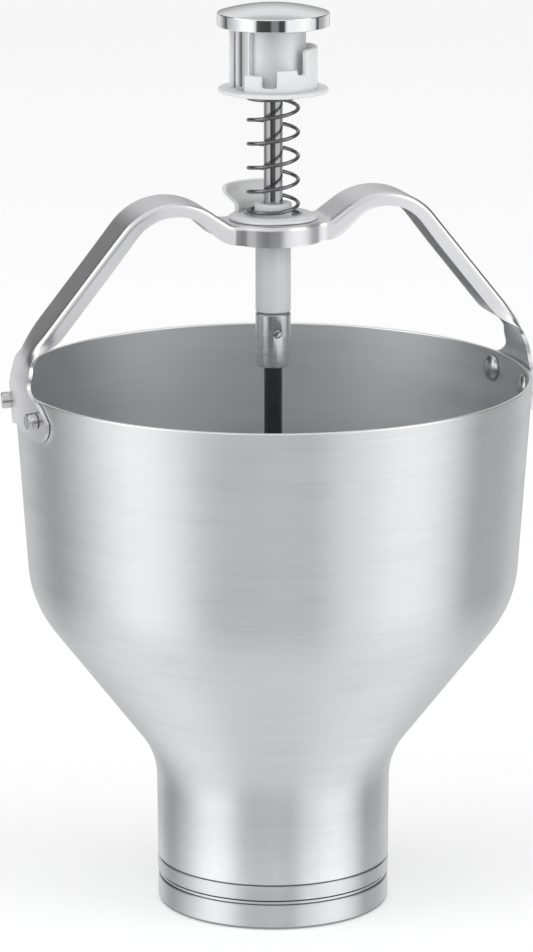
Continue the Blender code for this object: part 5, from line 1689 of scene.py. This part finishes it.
def studio_world(strength):
    """Studio surroundings: fields of light and dark gaps round the object, and a pale ground."""
    world = bpy.data.worlds.new("studio")
    world.use_nodes = True
    tree = world.node_tree
    way = add_node(tree, "ShaderNodeTexCoord").outputs["Generated"]
    ahead, beside = camera_ways()
    behind = -ahead * math.cos(BACK_LIGHT_RISE) + Vector((0.0, 0.0, math.sin(BACK_LIGHT_RISE)))
    facing, aside, near = (
        add_node(tree, "ShaderNodeVectorMath", {0: way, 1: line}, operation="DOT_PRODUCT").outputs["Value"]
        for line in (ahead, beside, behind)
    )
    level = add_node(tree, "ShaderNodeSeparateXYZ", {0: way}).outputs[2]

    front = mix_tones(tree, remap(tree, aside, -0.6, 0.4), grey(1.30), grey(0.84))
    sky = mix_tones(tree, remap(tree, facing, 0.0, 0.75), grey(0.06), front)
    high = remap(tree, level, 0.02, 0.16, 0.0, 0.85)
    bands = mix_tones(tree, high, horizon_light(tree, facing, aside), sky)

    spread = math.cos(BACK_LIGHT_SPREAD), math.cos(BACK_LIGHT_SPREAD * 0.75)
    climb = mix_tones(tree, remap(tree, level, 0.08, 0.42), grey(0.38), grey(0.84))
    lit = mix_tones(tree, remap(tree, near, *spread), bands, climb)

    ground = remap(tree, level, -0.24, -0.56)
    behind_low = calculate(
        tree, "MULTIPLY", remap(tree, facing, -0.40, -0.80, 0.0, 0.92), remap(tree, level, 0.18, 0.0)
    )
    rear = calculate(tree, "MULTIPLY", behind_low, remap(tree, facing, -0.97, -0.93))
    flank = calculate(
        tree, "MULTIPLY", remap(tree, facing, -0.12, -0.42, 0.0, 0.60), remap(tree, level, -0.17, -0.27)
    )
    pale = calculate(tree, "MAXIMUM", ground, calculate(tree, "MAXIMUM", rear, flank))
    low = mix_tones(tree, pale, lit, grey(0.92))

    top = mix_tones(tree, remap(tree, level, 0.90, 0.98), grey(0.80), grey(1.0))
    full = mix_tones(tree, remap(tree, level, 0.45, 0.85), low, top)
    seen = add_node(tree, "ShaderNodeLightPath").outputs["Is Camera Ray"]
    background = tree.nodes["Background"]
    tree.links.new(mix_tones(tree, seen, full, grey(0.95)), background.inputs["Color"])
    background.inputs["Strength"].default_value = strength
    return world


def pale_floor():
    """A wide pale floor, which mirrors on the object don't see."""
    sizes = bpy.context.scene.dispenser_stage
    shape = bmesh.new()
    bmesh.ops.create_circle(shape, cap_ends=True, segments=DISC_SIDES, radius=FLOOR_RADIUS)
    floor = new_piece("pale_floor", shape)
    tree, shader = new_material("pale_floor")
    place = add_node(tree, "ShaderNodeTexCoord").outputs["Object"]
    grain = add_node(tree, "ShaderNodeTexNoise", {"Vector": place, "Scale": 3.0, "Detail": 2.0})
    tint = tuple(sizes.floor_colour)
    tree.links.new(mix_tones(tree, grain.outputs[0], shaded(tint, 0.99), tint), shader.inputs["Base Color"])
    shader.inputs["Roughness"].default_value = 0.9
    shader.inputs["Emission Color"].default_value = (1.0, 1.0, 1.0, 1.0)
    shader.inputs["Emission Strength"].default_value = sizes.floor_glow
    floor.data.materials.append(bpy.data.materials["pale_floor"])
    floor.visible_glossy = False
    return floor


def softbox(name, turn, power):
    """A soft lamp at a turn from the camera, aimed at the middle of the bowl."""
    data = bpy.data.lights.new(name, "AREA")
    data.shape = "RECTANGLE"
    data.size = SOFTBOX_WIDTH
    data.size_y = SOFTBOX_HEIGHT
    data.energy = power
    light = bpy.data.objects.new(name, data)
    ahead, beside = camera_ways()
    away = (ahead * math.cos(turn) + beside * math.sin(turn)) * SOFTBOX_DISTANCE
    light.location = away + Vector((0.0, 0.0, SOFTBOX_RISE))
    look_back = light.location - Vector((0.0, 0.0, SOFTBOX_AIM))
    light.rotation_euler = look_back.to_track_quat("Z", "Y").to_euler()
    light.visible_camera = False
    bpy.context.collection.objects.link(light)


class BuildStage(bpy.types.Operator):
    """Set the pale floor, the studio light and the camera"""
    bl_idname = "dispenser.stage"
    bl_label = "Stage"

    def execute(self, context):
        sizes = context.scene.dispenser_stage
        floor = pale_floor()
        context.scene.world = studio_world(sizes.studio)
        for name, turn in SOFTBOX_TURNS.items():
            softbox(name, turn, SOFTBOX_POWER * sizes.studio)
        data = bpy.data.cameras.new("photo_camera")
        data.lens = sizes.lens
        data.sensor_width = FILM_WIDTH
        data.dof.use_dof = False
        camera = bpy.data.objects.new("photo_camera", data)
        camera.location = camera_ways()[0] * sizes.distance + Vector((0.0, 0.0, sizes.height))
        camera.rotation_euler = (math.pi / 2 - sizes.tilt, 0.0, sizes.aim - sizes.heading)
        context.collection.objects.link(camera)
        context.scene.camera = camera
        context.scene.view_settings.view_transform = "Standard"
        return {"FINISHED"}


OPERATORS = (
    BuildHopper, BuildFoot, BuildCylinder, BuildBridge, BuildRivets, BuildBush,
    BuildSpring, BuildCap, BuildDial, BuildRods, BuildPlungerEnd, BuildStage,
)


class DispenserPanel(bpy.types.Panel):
    """Lists the dispenser's pieces and their sizes."""
    bl_idname = "VIEW3D_PT_dispenser"
    bl_label = "Batter Dispenser"
    bl_space_type = "VIEW_3D"
    bl_region_type = "UI"
    bl_category = "Dispenser"

    def draw(self, context):
        column = self.layout.column(align=True)
        for operator in OPERATORS:
            column.operator(operator.bl_idname)
        for key, group in SETTINGS.items():
            box = self.layout.box()
            box.label(text=key.replace("_", " ").capitalize())
            for name in group.__annotations__:
                box.prop(getattr(context.scene, key), name)


def register():
    """Register the settings, the operators and the panel."""
    for key, group in SETTINGS.items():
        bpy.utils.register_class(group)
        setattr(bpy.types.Scene, key, PointerProperty(type=group))
    for item in (*OPERATORS, DispenserPanel):
        bpy.utils.register_class(item)


def unregister():
    """Take the settings, the operators and the panel away again."""
    for item in (DispenserPanel, *reversed(OPERATORS)):
        bpy.utils.unregister_class(item)
    for key, group in SETTINGS.items():
        delattr(bpy.types.Scene, key)
        bpy.utils.unregister_class(group)


def main():
    """Make every piece and the stage."""
    register()
    for operator in OPERATORS:
        getattr(bpy.ops.dispenser, operator.bl_idname.split(".")[1])()


if __name__ == "__main__":
    main()
